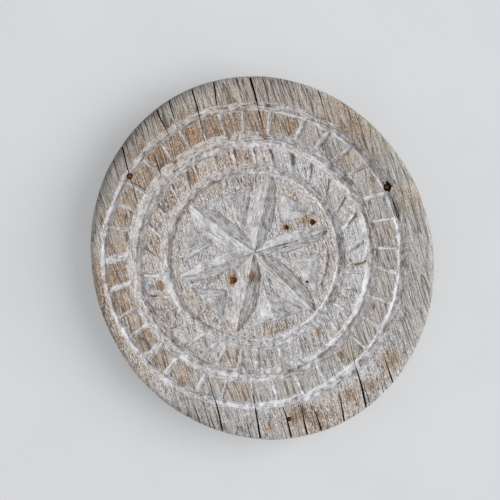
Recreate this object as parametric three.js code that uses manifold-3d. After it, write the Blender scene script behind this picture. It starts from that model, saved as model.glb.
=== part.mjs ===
// A carved chapati board: one oval disc of wood with a chip-carved face, standing on three short turned feet.
// Each foot has a tenon in a blind socket under the board, and a forged nail driven down through the carved
// face holds it there. Millimetres, +Z up, +Y along the grain of the wood.
// The origin is under the middle of the board, on the surface that it stands on.

import * as THREE from "three";
import { mergeVertices } from "three/addons/utils/BufferGeometryUtils.js";
import Module from "manifold-3d";

const wasm = await Module();
wasm.setup();

// The board, a little longer along the grain than across it
const BOARD_LENGTH = 280;
const BOARD_WIDTH = 258.6;
const BOARD_THICKNESS = 22;
const TOP_EDGE_RADIUS = 5;
const BOTTOM_EDGE_RADIUS = 3;

// The rings of the carving, struck from a point beside the middle of the board
const RING_CENTRE_X = -5.6;
const RING_CENTRE_Y = 3.4;
const NARROWEST_BORDER = 5.6;

// The outer groove falls slowly from the border and rises steeply to the blocks, and so does the inner one
const OUTER_GROOVE_FALL = 6.4;
const OUTER_GROOVE_RISE = 1.5;
const OUTER_GROOVE_DEPTH = 3;
const MIDDLE_GROOVE_FALL = 6.5;
const MIDDLE_GROOVE_RISE = 6.5;
const MIDDLE_GROOVE_DEPTH = 3.2;
const INNER_GROOVE_FALL = 5.7;
const INNER_GROOVE_RISE = 1.5;
const INNER_GROOVE_DEPTH = 3;

// The two rings of blocks, parted by V cuts that the carver spaced by eye
const OUTER_BLOCK_LENGTH = 15;
const INNER_BLOCK_LENGTH = 12.6;
const BLOCK_CUT_WIDTH = 2.8;
const BLOCK_CUT_DEPTH = 2.2;
const BLOCK_CUT_OVERRUN = 1.2;
const OUTER_CUT_ANGLES = [
  -19, -7, 4, 18, 27, 37, 47, 61, 72, 81, 90, 98, 107, 117, 128, 137, 146,
  159, 171, 182, 191, 202, 211, 226, 236, 248, 257, 268, 278, 288, 299, 309, 320, 332,
];
const INNER_CUT_ANGLES = [
  -16, -1, 9, 20, 34, 46, 58, 67, 78, 90, 102, 109, 118, 131, 144, 157, 169,
  182, 190, 202, 213, 223, 230, 241, 251, 263, 275, 287, 298, 308, 320, 329, 335,
];

// The rosette: six pointed petals, with a three-sided pocket chipped out between each two
const ROSETTE_SHIFT_X = 2.1;
const ROSETTE_SHIFT_Y = 3.8;
const PETAL_ANGLES = [56.5, 123, 177.5, 235, 293.7, 352.7];
const PETAL_WIDTH = 17;
const PETAL_DEPTH = 4;
const PETAL_TIP_GAP = 1.2;
const POCKET_START = 0.46; // share of the way from the rosette's centre to its edge
const POCKET_RIM_GAP = 9.5;
const POCKET_FLOOR_GAP = 16;
const POCKET_SPREAD = 21;
const POCKET_DEPTH = 3.6;

// The feet, each placed by its direction from the middle and its distance in from the edge
const LEFT_FOOT_INSET = 17.9;
const RIGHT_FOOT_INSET = 20.6;
const FRONT_FOOT_INSET = 15.7;
const FEET = [
  { side: "left", angle: 126.4, inset: LEFT_FOOT_INSET },
  { side: "right", angle: 7.5, inset: RIGHT_FOOT_INSET },
  { side: "front", angle: 257.4, inset: FRONT_FOOT_INSET },
];
const FOOT_HEIGHT = 18;
const FOOT_TOP_RADIUS = 12;
const FOOT_WAIST_RADIUS = 10.4;
const FOOT_SOLE_RADIUS = 11;
const FOOT_SOLE_ROUNDING = 2;
const TENON_RADIUS = 7.5;
const TENON_LENGTH = 8;

// The nails
const NAIL_HEAD_RADIUS = 2.8;
const NAIL_HEAD_HEIGHT = 1.5;
const NAIL_DOME_SHOULDER = 0.7; // share of the head's radius where its dome turns over
const NAIL_HEAD_SINK = 2.8;
const NAIL_SHANK_RADIUS = 1.5;
const NAIL_POINT_COVER = 5; // wood left below the point, in the sole of the foot
const NAIL_POINT_LENGTH = 9;

// The gap that fitted pieces keep, and how far a cutter stands out of the wood that it opens
const CLEARANCE = 0.3;
const CUTTER_MARGIN = 1;

// Facets round each kind of turned piece, and along each kind of curve
const BOARD_FACETS = 96;
const FOOT_FACETS = 28;
const NAIL_FACETS = 14;
const EDGE_STEPS = 3;
const PETAL_STEPS = 12;
const V_BAR_SIDES = 4; // a square bar laid on its edge cuts a V

const radians = THREE.MathUtils.degToRad;
const FACE = FOOT_HEIGHT + BOARD_THICKNESS;
const NAIL_SEAT = FACE - NAIL_HEAD_SINK + CLEARANCE;
const NAIL_LENGTH = NAIL_SEAT - NAIL_POINT_COVER;
const ringCentre = new THREE.Vector2(RING_CENTRE_X, RING_CENTRE_Y);
const rosetteShift = new THREE.Vector2(ROSETTE_SHIFT_X, ROSETTE_SHIFT_Y);
const rosetteCentre = ringCentre.clone().add(rosetteShift);

// The radii of the carving follow each other inwards from the narrowest stretch of the border
const roomAcross = BOARD_WIDTH / 2 - Math.abs(RING_CENTRE_X);
const roomAlong = BOARD_LENGTH / 2 - Math.abs(RING_CENTRE_Y);
const outerGrooveLip = Math.min(roomAcross, roomAlong) - NARROWEST_BORDER;
const outerBlocksOut = outerGrooveLip - OUTER_GROOVE_FALL - OUTER_GROOVE_RISE;
const outerBlocksIn = outerBlocksOut - OUTER_BLOCK_LENGTH;
const innerBlocksOut = outerBlocksIn - MIDDLE_GROOVE_FALL - MIDDLE_GROOVE_RISE;
const innerBlocksIn = innerBlocksOut - INNER_BLOCK_LENGTH;
const rosetteRadius = innerBlocksIn - INNER_GROOVE_FALL - INNER_GROOVE_RISE;

function pointAt(centre, radius, angle) {
  const away = new THREE.Vector2(radius, 0).rotateAround(new THREE.Vector2(), radians(angle));
  return away.add(centre);
}

// A closed geometry as a solid that can be cut
function solid(geometry) {
  const bare = geometry.clone();
  bare.deleteAttribute("normal");
  bare.deleteAttribute("uv");
  const merged = mergeVertices(bare);
  const vertProperties = merged.attributes.position.array;
  const triVerts = new Uint32Array(merged.index.array);
  return new wasm.Manifold(new wasm.Mesh({ numProp: 3, vertProperties, triVerts }));
}

function geometryOf(body) {
  const { vertProperties, triVerts } = body.getMesh();
  const geometry = new THREE.BufferGeometry();
  geometry.setAttribute("position", new THREE.BufferAttribute(vertProperties, 3));
  geometry.setIndex(new THREE.BufferAttribute(triVerts, 1));
  return geometry;
}

function cutAway(body, cutters) {
  return cutters.reduce((rest, cutter) => rest.subtract(solid(cutter)), body);
}

// A profile of radius and height, turned about +Z
function turned(profile, facets) {
  return new THREE.LatheGeometry(profile, facets).rotateX(Math.PI / 2);
}

// A round bar standing on the XY plane at a point
function bar(radius, low, high, place, facets) {
  const geometry = new THREE.CylinderGeometry(radius, radius, high - low, facets).rotateX(Math.PI / 2);
  return geometry.translate(place.x, place.y, (low + high) / 2);
}

// A V groove round the ring centre, from its outer lip down to its floor and up to its inner lip
function grooveCutter(lip, fall, rise, depth) {
  const above = 1 + CUTTER_MARGIN / depth;
  const floor = lip - fall;
  const profile = [
    new THREE.Vector2(floor, FACE - depth),
    new THREE.Vector2(floor + fall * above, FACE + CUTTER_MARGIN),
    new THREE.Vector2(floor - rise * above, FACE + CUTTER_MARGIN),
    new THREE.Vector2(floor, FACE - depth),
  ];
  return turned(profile, BOARD_FACETS).translate(ringCentre.x, ringCentre.y, 0);
}

// A square bar laid on its edge across a ring of blocks, so that its lower half is a V cut
function blockCutter(inside, outside, angle) {
  const length = outside - inside + 2 * BLOCK_CUT_OVERRUN;
  const middle = pointAt(ringCentre, (inside + outside) / 2, angle);
  const cutter = new THREE.CylinderGeometry(1, 1, length, V_BAR_SIDES);
  cutter.scale(BLOCK_CUT_WIDTH / 2, 1, BLOCK_CUT_DEPTH);
  return cutter.rotateZ(radians(angle - 90)).translate(middle.x, middle.y, FACE);
}

// How far the edge of the rosette lies from the rosette's own centre in one direction
function rosetteReach(angle) {
  const ahead = pointAt(new THREE.Vector2(), 1, angle);
  const along = rosetteShift.dot(ahead);
  const across = rosetteShift.cross(ahead);
  return Math.sqrt(rosetteRadius ** 2 - across ** 2) - along;
}

// A four-sided spindle laid on its edge: its lower half is a petal with a V floor
function petalCutter(angle) {
  const length = rosetteReach(angle) - PETAL_TIP_GAP;
  const profile = [];
  for (let step = 0; step <= PETAL_STEPS; step += 1) {
    const share = step / PETAL_STEPS;
    profile.push(new THREE.Vector2(Math.sin(Math.PI * share), length * share));
  }
  profile[PETAL_STEPS].x = 0;
  const cutter = new THREE.LatheGeometry(profile, V_BAR_SIDES);
  cutter.scale(PETAL_WIDTH / 2, 1, PETAL_DEPTH);
  return cutter.rotateZ(radians(angle - 90)).translate(rosetteCentre.x, rosetteCentre.y, FACE);
}

// A three-sided pocket between two petals, deepest near the edge of the rosette
function pocketCutter(angle) {
  const rim = rosetteReach(angle);
  const corners = [
    pointAt(rosetteCentre, rim * POCKET_START, angle),
    pointAt(rosetteCentre, rim - POCKET_RIM_GAP, angle - POCKET_SPREAD),
    pointAt(rosetteCentre, rim - POCKET_RIM_GAP, angle + POCKET_SPREAD),
  ];
  const floor = pointAt(rosetteCentre, rim - POCKET_FLOOR_GAP, angle);
  const points = corners.map((corner) => new THREE.Vector3(corner.x, corner.y, FACE));
  points.push(new THREE.Vector3(floor.x, floor.y, FACE - POCKET_DEPTH));
  points.push(new THREE.Vector3(floor.x, floor.y, FACE + POCKET_DEPTH));
  const geometry = new THREE.BufferGeometry().setFromPoints(points);
  return geometry.setIndex([1, 0, 3, 2, 1, 3, 0, 2, 3, 0, 1, 4, 1, 2, 4, 2, 0, 4]);
}

// The direction halfway between two neighbouring petals
function betweenPetals(index) {
  const here = PETAL_ANGLES[index];
  const next = PETAL_ANGLES[(index + 1) % PETAL_ANGLES.length];
  return here + ((next - here + 360) % 360) / 2;
}

// Where a foot and its nail stand: in from the oval edge of the board
function footPlace(foot) {
  const onEdge = pointAt(new THREE.Vector2(), 1, foot.angle);
  const edge = 1 / Math.hypot(onEdge.x / (BOARD_WIDTH / 2), onEdge.y / (BOARD_LENGTH / 2));
  return pointAt(new THREE.Vector2(), edge - foot.inset, foot.angle);
}

function boardBlank() {
  const edge = BOARD_LENGTH / 2;
  const profile = new THREE.Path();
  profile.moveTo(0, FOOT_HEIGHT);
  profile.lineTo(edge - BOTTOM_EDGE_RADIUS, FOOT_HEIGHT);
  profile.absarc(
    edge - BOTTOM_EDGE_RADIUS, FOOT_HEIGHT + BOTTOM_EDGE_RADIUS, BOTTOM_EDGE_RADIUS, -Math.PI / 2, 0,
  );
  profile.absarc(edge - TOP_EDGE_RADIUS, FACE - TOP_EDGE_RADIUS, TOP_EDGE_RADIUS, 0, Math.PI / 2);
  profile.lineTo(0, FACE);
  return turned(profile.getPoints(EDGE_STEPS), BOARD_FACETS).scale(BOARD_WIDTH / BOARD_LENGTH, 1, 1);
}

function carvedBoard() {
  const grooves = [
    grooveCutter(outerGrooveLip, OUTER_GROOVE_FALL, OUTER_GROOVE_RISE, OUTER_GROOVE_DEPTH),
    grooveCutter(outerBlocksIn, MIDDLE_GROOVE_FALL, MIDDLE_GROOVE_RISE, MIDDLE_GROOVE_DEPTH),
    grooveCutter(innerBlocksIn, INNER_GROOVE_FALL, INNER_GROOVE_RISE, INNER_GROOVE_DEPTH),
  ];
  const outerCuts = OUTER_CUT_ANGLES.map((angle) => blockCutter(outerBlocksIn, outerBlocksOut, angle));
  const innerCuts = INNER_CUT_ANGLES.map((angle) => blockCutter(innerBlocksIn, innerBlocksOut, angle));
  const petals = PETAL_ANGLES.map(petalCutter);
  const pockets = PETAL_ANGLES.map((angle, index) => pocketCutter(betweenPetals(index)));
  const fixings = FEET.flatMap((foot) => {
    const place = footPlace(foot);
    const above = FACE + CUTTER_MARGIN;
    const below = FOOT_HEIGHT - CUTTER_MARGIN;
    const socketTop = FOOT_HEIGHT + TENON_LENGTH + CLEARANCE;
    return [
      bar(NAIL_HEAD_RADIUS + CLEARANCE, FACE - NAIL_HEAD_SINK, above, place, NAIL_FACETS),
      bar(NAIL_SHANK_RADIUS + CLEARANCE, FOOT_HEIGHT, FACE, place, NAIL_FACETS),
      bar(TENON_RADIUS + CLEARANCE, below, socketTop, place, FOOT_FACETS),
    ];
  });
  return cutAway(solid(boardBlank()), [
    ...grooves, ...outerCuts, ...innerCuts, ...petals, ...pockets, ...fixings,
  ]);
}

// A turned foot with a drawn-in waist, drilled for its nail
function turnedFoot() {
  const shoulder = FOOT_HEIGHT - CLEARANCE;
  const profile = new THREE.Path();
  profile.moveTo(0, 0);
  profile.lineTo(FOOT_SOLE_RADIUS - FOOT_SOLE_ROUNDING, 0);
  profile.absarc(
    FOOT_SOLE_RADIUS - FOOT_SOLE_ROUNDING, FOOT_SOLE_ROUNDING, FOOT_SOLE_ROUNDING, -Math.PI / 2, 0,
  );
  profile.quadraticCurveTo(FOOT_WAIST_RADIUS, FOOT_HEIGHT / 2, FOOT_TOP_RADIUS, shoulder);
  profile.lineTo(TENON_RADIUS, shoulder);
  profile.lineTo(TENON_RADIUS, FOOT_HEIGHT + TENON_LENGTH);
  profile.lineTo(0, FOOT_HEIGHT + TENON_LENGTH);
  const body = solid(turned(profile.getPoints(EDGE_STEPS), FOOT_FACETS));
  const low = NAIL_POINT_COVER - CLEARANCE;
  const high = FOOT_HEIGHT + TENON_LENGTH + CUTTER_MARGIN;
  const drilling = bar(NAIL_SHANK_RADIUS + CLEARANCE, low, high, new THREE.Vector2(), NAIL_FACETS);
  return geometryOf(cutAway(body, [drilling]));
}

// A forged nail with a domed head, its shank hanging below the underside of the head
function forgedNail() {
  const profile = new THREE.Path();
  profile.moveTo(0, -NAIL_LENGTH);
  profile.lineTo(NAIL_SHANK_RADIUS, NAIL_POINT_LENGTH - NAIL_LENGTH);
  profile.lineTo(NAIL_SHANK_RADIUS, 0);
  profile.lineTo(NAIL_HEAD_RADIUS, 0);
  profile.lineTo(NAIL_HEAD_RADIUS, NAIL_HEAD_HEIGHT / 2);
  profile.quadraticCurveTo(NAIL_HEAD_RADIUS * NAIL_DOME_SHOULDER, NAIL_HEAD_HEIGHT, 0, NAIL_HEAD_HEIGHT);
  return turned(profile.getPoints(EDGE_STEPS), NAIL_FACETS);
}

function addPiece(group, name, geometry, look) {
  const material = new THREE.MeshStandardMaterial({ ...look, flatShading: true });
  const piece = new THREE.Mesh(geometry, material);
  piece.name = name;
  group.add(piece);
  return piece;
}

const weatheredWood = { color: 0xa3978a, roughness: 0.9, metalness: 0 };
const footWood = { color: 0x8d7d6b, roughness: 0.85, metalness: 0 };
const rustyIron = { color: 0x573726, roughness: 0.8, metalness: 0.5 };

const chapatiBoard = new THREE.Group();
addPiece(chapatiBoard, "board", geometryOf(carvedBoard()), weatheredWood);
for (const foot of FEET) {
  const place = footPlace(foot);
  const turnedPiece = addPiece(chapatiBoard, `${foot.side}_foot`, turnedFoot(), footWood);
  turnedPiece.position.set(place.x, place.y, 0);
  const nail = addPiece(chapatiBoard, `${foot.side}_nail`, forgedNail(), rustyIron);
  nail.position.set(place.x, place.y, NAIL_SEAT);
}

export default chapatiBoard;
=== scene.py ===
# %% [markdown]
# A carved chapati board is an oval slab of hardwood with a chip-carved face, standing on three short feet.
# The solids of the part are loaded first, because every piece made below has to sit where they say.

# %% Load the imported part
import math

import bpy
import numpy as np
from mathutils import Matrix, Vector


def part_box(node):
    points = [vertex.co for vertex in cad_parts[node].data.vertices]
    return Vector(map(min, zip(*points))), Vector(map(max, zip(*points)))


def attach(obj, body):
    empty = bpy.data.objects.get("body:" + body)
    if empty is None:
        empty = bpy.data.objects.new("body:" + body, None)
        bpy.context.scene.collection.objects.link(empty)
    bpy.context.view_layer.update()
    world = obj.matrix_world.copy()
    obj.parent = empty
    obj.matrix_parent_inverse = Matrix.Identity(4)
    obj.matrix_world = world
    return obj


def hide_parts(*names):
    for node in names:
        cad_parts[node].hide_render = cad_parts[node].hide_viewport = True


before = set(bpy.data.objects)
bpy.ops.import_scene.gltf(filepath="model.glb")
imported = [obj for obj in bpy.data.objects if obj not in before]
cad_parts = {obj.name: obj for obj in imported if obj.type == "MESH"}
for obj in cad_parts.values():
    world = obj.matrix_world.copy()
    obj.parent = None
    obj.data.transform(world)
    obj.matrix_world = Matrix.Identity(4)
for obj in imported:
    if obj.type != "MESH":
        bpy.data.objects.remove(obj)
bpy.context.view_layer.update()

print("nodes:", ", ".join(sorted(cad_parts)))

# %% [markdown]
# A board maker thinks in millimetres and Blender in metres, so shapes are reckoned in millimetres and
# scaled once. The outline, the height of the face and the places of feet and nails are all read from the
# solids.

# %% Sizes that come from the part
MM = 0.001


def node_box(name):
    low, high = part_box(name)
    return np.array(low) / MM, np.array(high) / MM


board_low, board_high = node_box("board")
HALF_WIDTH, HALF_LENGTH, FACE = board_high
UNDERSIDE = board_low[2]
SIDES = ("left", "right", "front")
FOOT_PLACES = {side: sum(node_box(f"{side}_foot"))[:2] / 2 for side in SIDES}
print(f"board {2 * HALF_WIDTH:.1f} x {2 * HALF_LENGTH:.1f} mm, face at {FACE:.1f} mm")

# %% [markdown]
# The photograph looks square at the carved face, so the camera hangs straight above the standing board. It
# is turned until the grain runs the way it does in the picture, and a long lens keeps the oval true.

# %% Camera
PICTURE_TURN = -22.0
PICTURE_SPAN = 378.7
CAMERA_HEIGHT = 1200.0
AIM = np.array([-6.33, 9.0])
SENSOR = 36.0

camera_data = bpy.data.cameras.new("camera")
camera_data.sensor_width = SENSOR
camera_data.lens = SENSOR * CAMERA_HEIGHT / PICTURE_SPAN
camera = bpy.data.objects.new("camera", camera_data)
camera.location = (AIM[0] * MM, AIM[1] * MM, (FACE + CAMERA_HEIGHT) * MM)
camera.rotation_euler = (0, 0, math.radians(PICTURE_TURN))
bpy.context.scene.collection.objects.link(camera)
bpy.context.scene.camera = camera
print(f"lens {camera_data.lens:.1f} mm")

# %% [markdown]
# One large window stood to the right of the board, so a big soft lamp rakes across the carving from there.
# An even sky fills the shadows. The plain view transform keeps the pale colours as they are mixed.

# %% Light
WINDOW_DIRECTION = PICTURE_TURN + 3.0
WINDOW_HEIGHT = 42.0
WINDOW_DISTANCE = 9.0
WINDOW_SIZE = 8.3
WINDOW_POWER = 660.0
WINDOW_TINT = (1.0, 0.985, 0.965)
SKY_STRENGTH = 0.44
SKY_TINT = (0.95, 0.97, 1.0, 1.0)

window_data = bpy.data.lights.new("window", "AREA")
window_data.size = WINDOW_SIZE
window_data.energy = WINDOW_POWER
window_data.color = WINDOW_TINT
window = bpy.data.objects.new("window", window_data)
around = math.radians(WINDOW_DIRECTION)
above = math.radians(WINDOW_HEIGHT)
window.location = (
    WINDOW_DISTANCE * math.cos(above) * math.cos(around),
    WINDOW_DISTANCE * math.cos(above) * math.sin(around),
    WINDOW_DISTANCE * math.sin(above),
)
window.rotation_euler = (math.pi / 2 - above, 0, around + math.pi / 2)
bpy.context.scene.collection.objects.link(window)

sky = bpy.data.worlds.new("sky")
sky.use_nodes = True
sky.node_tree.nodes["Background"].inputs["Color"].default_value = SKY_TINT
sky.node_tree.nodes["Background"].inputs["Strength"].default_value = SKY_STRENGTH
bpy.context.scene.world = sky
bpy.context.scene.view_settings.view_transform = "Standard"
print("window lamp", window_data.energy, "W")

# %% [markdown]
# Hand work is never quite even, and neither is old wood. A smooth random surface gives both their wander.
# It is a grid of seeded random heights, blended between its points, so each run gives the same board.

# %% Wander
LATTICE_SIZE = 256
LATTICE = np.random.default_rng(11).uniform(-1, 1, (LATTICE_SIZE, LATTICE_SIZE))


def wander(x, y, seed):
    x = np.asarray(x, float) + 37.7 * seed
    y = np.asarray(y, float) + 19.3 * seed
    column = np.floor(x).astype(int)
    row = np.floor(y).astype(int)
    across = x - column
    along = y - row
    across = across * across * (3 - 2 * across)
    along = along * along * (3 - 2 * along)

    def height(down, right):
        return LATTICE[(row + down) % LATTICE_SIZE, (column + right) % LATTICE_SIZE]

    near = height(0, 0) * (1 - across) + height(0, 1) * across
    far = height(1, 0) * (1 - across) + height(1, 1) * across
    return near * (1 - along) + far * along


def ring_wander(degrees, waves, seed):
    angle = np.radians(degrees)
    size = waves / (2 * np.pi)
    return wander(size * np.cos(angle) + size, size * np.sin(angle) + size, seed)


print("wander at the middle:", round(float(wander(0.5, 0.5, 1)), 3))

# %% [markdown]
# The carver struck three grooves round one point with a gouge. Each lip is a circle that leans a little to
# one side and wavers, so a lip is a radius, a lean, the direction of that lean and a seed for its waver.

# %% Lips of the rings
RING_CENTRE = np.array([-5.9, 3.6])
WAVER = 0.42
LIPS = {
    "rosette_edge": (62.4, 0.3, 270, 1),
    "inner_floor": (64.5, 0.3, 270, 2),
    "inner_blocks_in": (70.4, 0.2, 270, 3),
    "inner_blocks_out": (83.6, 2.3, 268, 4),
    "middle_floor": (88.9, 1.2, 268, 5),
    "outer_blocks_in": (95.3, 0.7, 230, 6),
    "outer_blocks_out": (110.3, 0.4, 200, 7),
    "outer_floor": (112.2, 0.4, 200, 8),
    "border_lip": (116.4, 1.1, 0, 9),
}


def lip(name, degrees):
    radius, lean, towards, seed = LIPS[name]
    leaning = lean * np.cos(np.radians(degrees - towards))
    slow = ring_wander(degrees, 30, seed)
    quick = 0.9 * ring_wander(degrees, 90, seed + 20) + 1.4 * ring_wander(degrees, 210, seed + 40)
    return radius + leaning + WAVER * (slow + quick)


def polar(x, y, centre):
    away = np.hypot(x - centre[0], y - centre[1])
    return np.degrees(np.arctan2(y - centre[1], x - centre[0])) % 360, away


def wrapped(degrees):
    return (degrees + 180) % 360 - 180


print("border lip at the right:", round(float(lip("border_lip", 0.0)), 1), "mm")

# %% [markdown]
# Everything carved is worked out for the points of the face at once. A relief holds how deep each point
# lies and which way the tool ran there, because the marks of the tool are to show in the finish later.
# Every stroke also carries a number, which tells the finish what was cut there. Where two cuts meet, the
# deeper one wins, just as it does under a chisel.

# %% Relief of the face
class Relief:
    """How far points lie below the flat face, and the stroke of the tool that cut each."""

    def __init__(self, x, y):
        self.x = x
        self.y = y
        self.degrees, self.radius = polar(x, y, RING_CENTRE)
        self.lips = {name: lip(name, self.degrees) for name in LIPS}
        self.depth = np.zeros_like(x)
        self.level = np.zeros_like(x)
        self.stroke = np.zeros((len(x), 3))

    def carve(self, depth, *stroke):
        deeper = depth > self.depth
        self.depth[deeper] = depth[deeper]
        for column, values in enumerate(stroke):
            self.stroke[deeper, column] = np.broadcast_to(values, depth.shape)[deeper]

    def uneven(self, size, seed):
        return wander(self.x / size, self.y / size, seed)

    def between(self, inside, outside):
        return (self.radius > self.lips[inside]) & (self.radius < self.lips[outside])


print("a relief knows", len(LIPS), "lips")

# %% [markdown]
# The depths from lip to lip make the profile of the grooves: worn shoulders, then the slanting walls. A
# gouge never clears a groove in one pass, so each pass leaves a faint ridge that runs round with it.

# %% Grooves
SHOULDER = 1.3
WORN = 0.35
PASS_WIDTH = 1.6
PASS_RIDGE = 0.5
STROKE_RING = 90.0
PROFILE = [
    ("rosette_edge", -SHOULDER, 0.0), ("rosette_edge", 0.0, WORN), ("inner_floor", 0.0, 2.7),
    ("inner_blocks_in", 0.0, WORN), ("inner_blocks_in", SHOULDER, 0.0),
    ("inner_blocks_out", -SHOULDER, 0.0), ("inner_blocks_out", 0.0, WORN), ("middle_floor", 0.0, 3.2),
    ("outer_blocks_in", 0.0, WORN), ("outer_blocks_in", SHOULDER, 0.0),
    ("outer_blocks_out", -SHOULDER, 0.0), ("outer_blocks_out", 0.0, WORN), ("outer_floor", 0.0, 2.7),
    ("border_lip", 0.0, WORN), ("border_lip", SHOULDER, 0.0),
]


def carve_grooves(relief):
    degrees = relief.degrees
    radius = relief.radius
    depth = np.zeros_like(radius)
    for (name, off, deep), (next_name, next_off, next_deep) in zip(PROFILE, PROFILE[1:]):
        start = relief.lips[name] + off
        end = relief.lips[next_name] + next_off
        depth += (next_deep - deep) * np.clip((radius - start) / (end - start), 0, 1)
    passes = wander(radius / PASS_WIDTH + 1.5 * ring_wander(degrees, 14, 61), 7.5, 63)
    depth += PASS_RIDGE * passes * np.clip(depth / 1.5, 0, 1)
    angle = np.radians(degrees)
    relief.carve(depth, radius, STROKE_RING * np.cos(angle), STROKE_RING * np.sin(angle))


print(len(PROFILE), "places in the profile of the grooves")

# %% [markdown]
# Between the grooves stand two rings of blocks, parted by cuts that were spaced by eye. Each cut is listed
# as the carver made it: the directions of its inner and outer end, its width and its depth. The inner cuts
# lean over like the spokes of a pinwheel, which a formula would lose.

# %% Cuts between the blocks
OUTER_CUTS = [
    (-18.0, -18.8, 2.1, 1.5), (-5.8, -6.8, 1.5, 1.2), (5.1, 3.7, 2.9, 2.0), (18.4, 16.7, 2.3, 1.3),
    (27.7, 26.3, 3.2, 1.8), (37.6, 36.7, 3.0, 1.9), (47.8, 47.2, 3.5, 2.0), (60.7, 61.3, 3.0, 1.7),
    (72.3, 72.0, 2.6, 1.5), (80.5, 81.3, 2.8, 1.8), (90.0, 89.7, 1.8, 1.2), (98.2, 98.2, 1.5, 1.1),
    (107.8, 107.0, 1.9, 1.4), (116.8, 116.5, 2.4, 1.5), (127.8, 127.3, 2.1, 1.5), (136.5, 137.0, 2.2, 1.2),
    (146.1, 146.3, 2.3, 1.4), (157.8, 159.7, 4.3, 2.0), (170.3, 171.5, 3.4, 1.9), (181.8, 182.8, 2.2, 1.5),
    (190.9, 191.3, 2.2, 1.6), (201.8, 201.8, 5.2, 2.0), (211.3, 211.3, 3.4, 2.0), (226.0, 225.7, 3.5, 1.9),
    (235.8, 235.8, 1.8, 1.4), (247.2, 248.4, 1.8, 1.3), (257.0, 257.8, 1.9, 1.3), (267.8, 268.2, 2.6, 1.7),
    (278.4, 278.2, 2.2, 1.4), (288.8, 287.3, 1.8, 0.9), (299.3, 298.8, 2.1, 1.5), (309.3, 308.7, 2.3, 1.7),
    (319.5, 319.7, 2.8, 1.8), (333.0, 331.5, 2.3, 1.6),
]
INNER_CUTS = [
    (-19.5, -13.5, 3.0, 1.6), (-5.0, 0.9, 2.6, 1.5), (6.3, 11.3, 1.9, 1.3), (17.0, 24.0, 1.8, 1.3),
    (31.3, 36.3, 2.3, 1.5), (43.0, 48.4, 2.7, 1.7), (54.7, 59.7, 2.2, 1.6), (66.3, 68.4, 1.8, 1.2),
    (78.8, 79.0, 2.1, 1.5), (90.7, 89.7, 1.9, 1.3), (103.4, 101.2, 1.9, 1.3), (111.3, 106.8, 1.9, 1.3),
    (120.9, 117.3, 1.6, 1.3), (133.8, 130.1, 1.8, 1.3), (145.9, 141.3, 2.0, 1.5), (159.7, 154.3, 1.9, 1.3),
    (170.0, 168.0, 2.4, 1.5), (183.4, 180.0, 2.1, 1.5), (191.8, 188.4, 2.1, 1.5), (203.8, 199.7, 2.0, 1.3),
    (214.7, 211.3, 1.9, 1.3), (225.1, 221.2, 2.2, 1.7), (230.9, 229.9, 1.9, 1.3), (241.2, 241.2, 2.3, 1.5),
    (250.7, 250.5, 2.6, 1.6), (264.0, 262.2, 1.7, 1.3), (277.2, 273.8, 1.9, 1.4), (288.7, 284.7, 2.0, 1.6),
    (299.3, 296.3, 1.7, 1.3), (308.0, 307.3, 2.3, 1.4), (320.1, 319.8, 1.7, 1.2), (328.4, 329.8, 1.7, 1.2),
    (332.2, 336.3, 2.6, 1.4),
]
CUT_ACROSS = (0.0, 0.7, 1.1, 1.5)
CUT_DEPTHS = (0.75, 0.68, 0.22, 0.0)
CUT_RUN_OUT = 0.16
INNER_CHIP = 0.8
CUT_WAVER = 0.3
CUT_MIDDLE = 50.0
CUT_MARK = 300
CUT_MARK_STEP = 20


def carve_cuts(relief, cuts, inside, outside, chip=0.0):
    inside = relief.lips[inside]
    outside = relief.lips[outside]
    share = (relief.radius - inside) / (outside - inside)
    fade = np.clip(1 + share / CUT_RUN_OUT, 0, 1) * np.clip(1 + (1 - share) / CUT_RUN_OUT, 0, 1)
    for number, (inner, outer, width, deep) in enumerate(cuts):
        middle = inner + (outer - inner) * share
        off = wrapped(relief.degrees - middle) * np.radians(relief.radius)
        half = width / 2 * (1 + CUT_WAVER * wander(share * 5, number + 0.5, 64))
        half = np.where(off < 0, half * (1 + chip * np.clip(share, 0, 1)), half)
        depth = deep * (0.75 + 0.5 * share) * fade * np.interp(np.abs(off) / half, CUT_ACROSS, CUT_DEPTHS)
        relief.carve(depth, CUT_MIDDLE + off, relief.radius, CUT_MARK + CUT_MARK_STEP * number)


print(len(OUTER_CUTS), "outer cuts and", len(INNER_CUTS), "inner cuts")

# %% [markdown]
# In the middle is a six-petalled rosette, an old compass figure. Each petal is two slanting cuts that meet
# in a keel, and the triangle left between two petals is chipped out with three more. A stop cut, nearly
# straight down, comes first, so every hollow has a crisp rim. A petal is a direction, a length and the
# widths of its two walls; a pocket is its depth, three corners and the spot where its walls meet.

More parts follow.
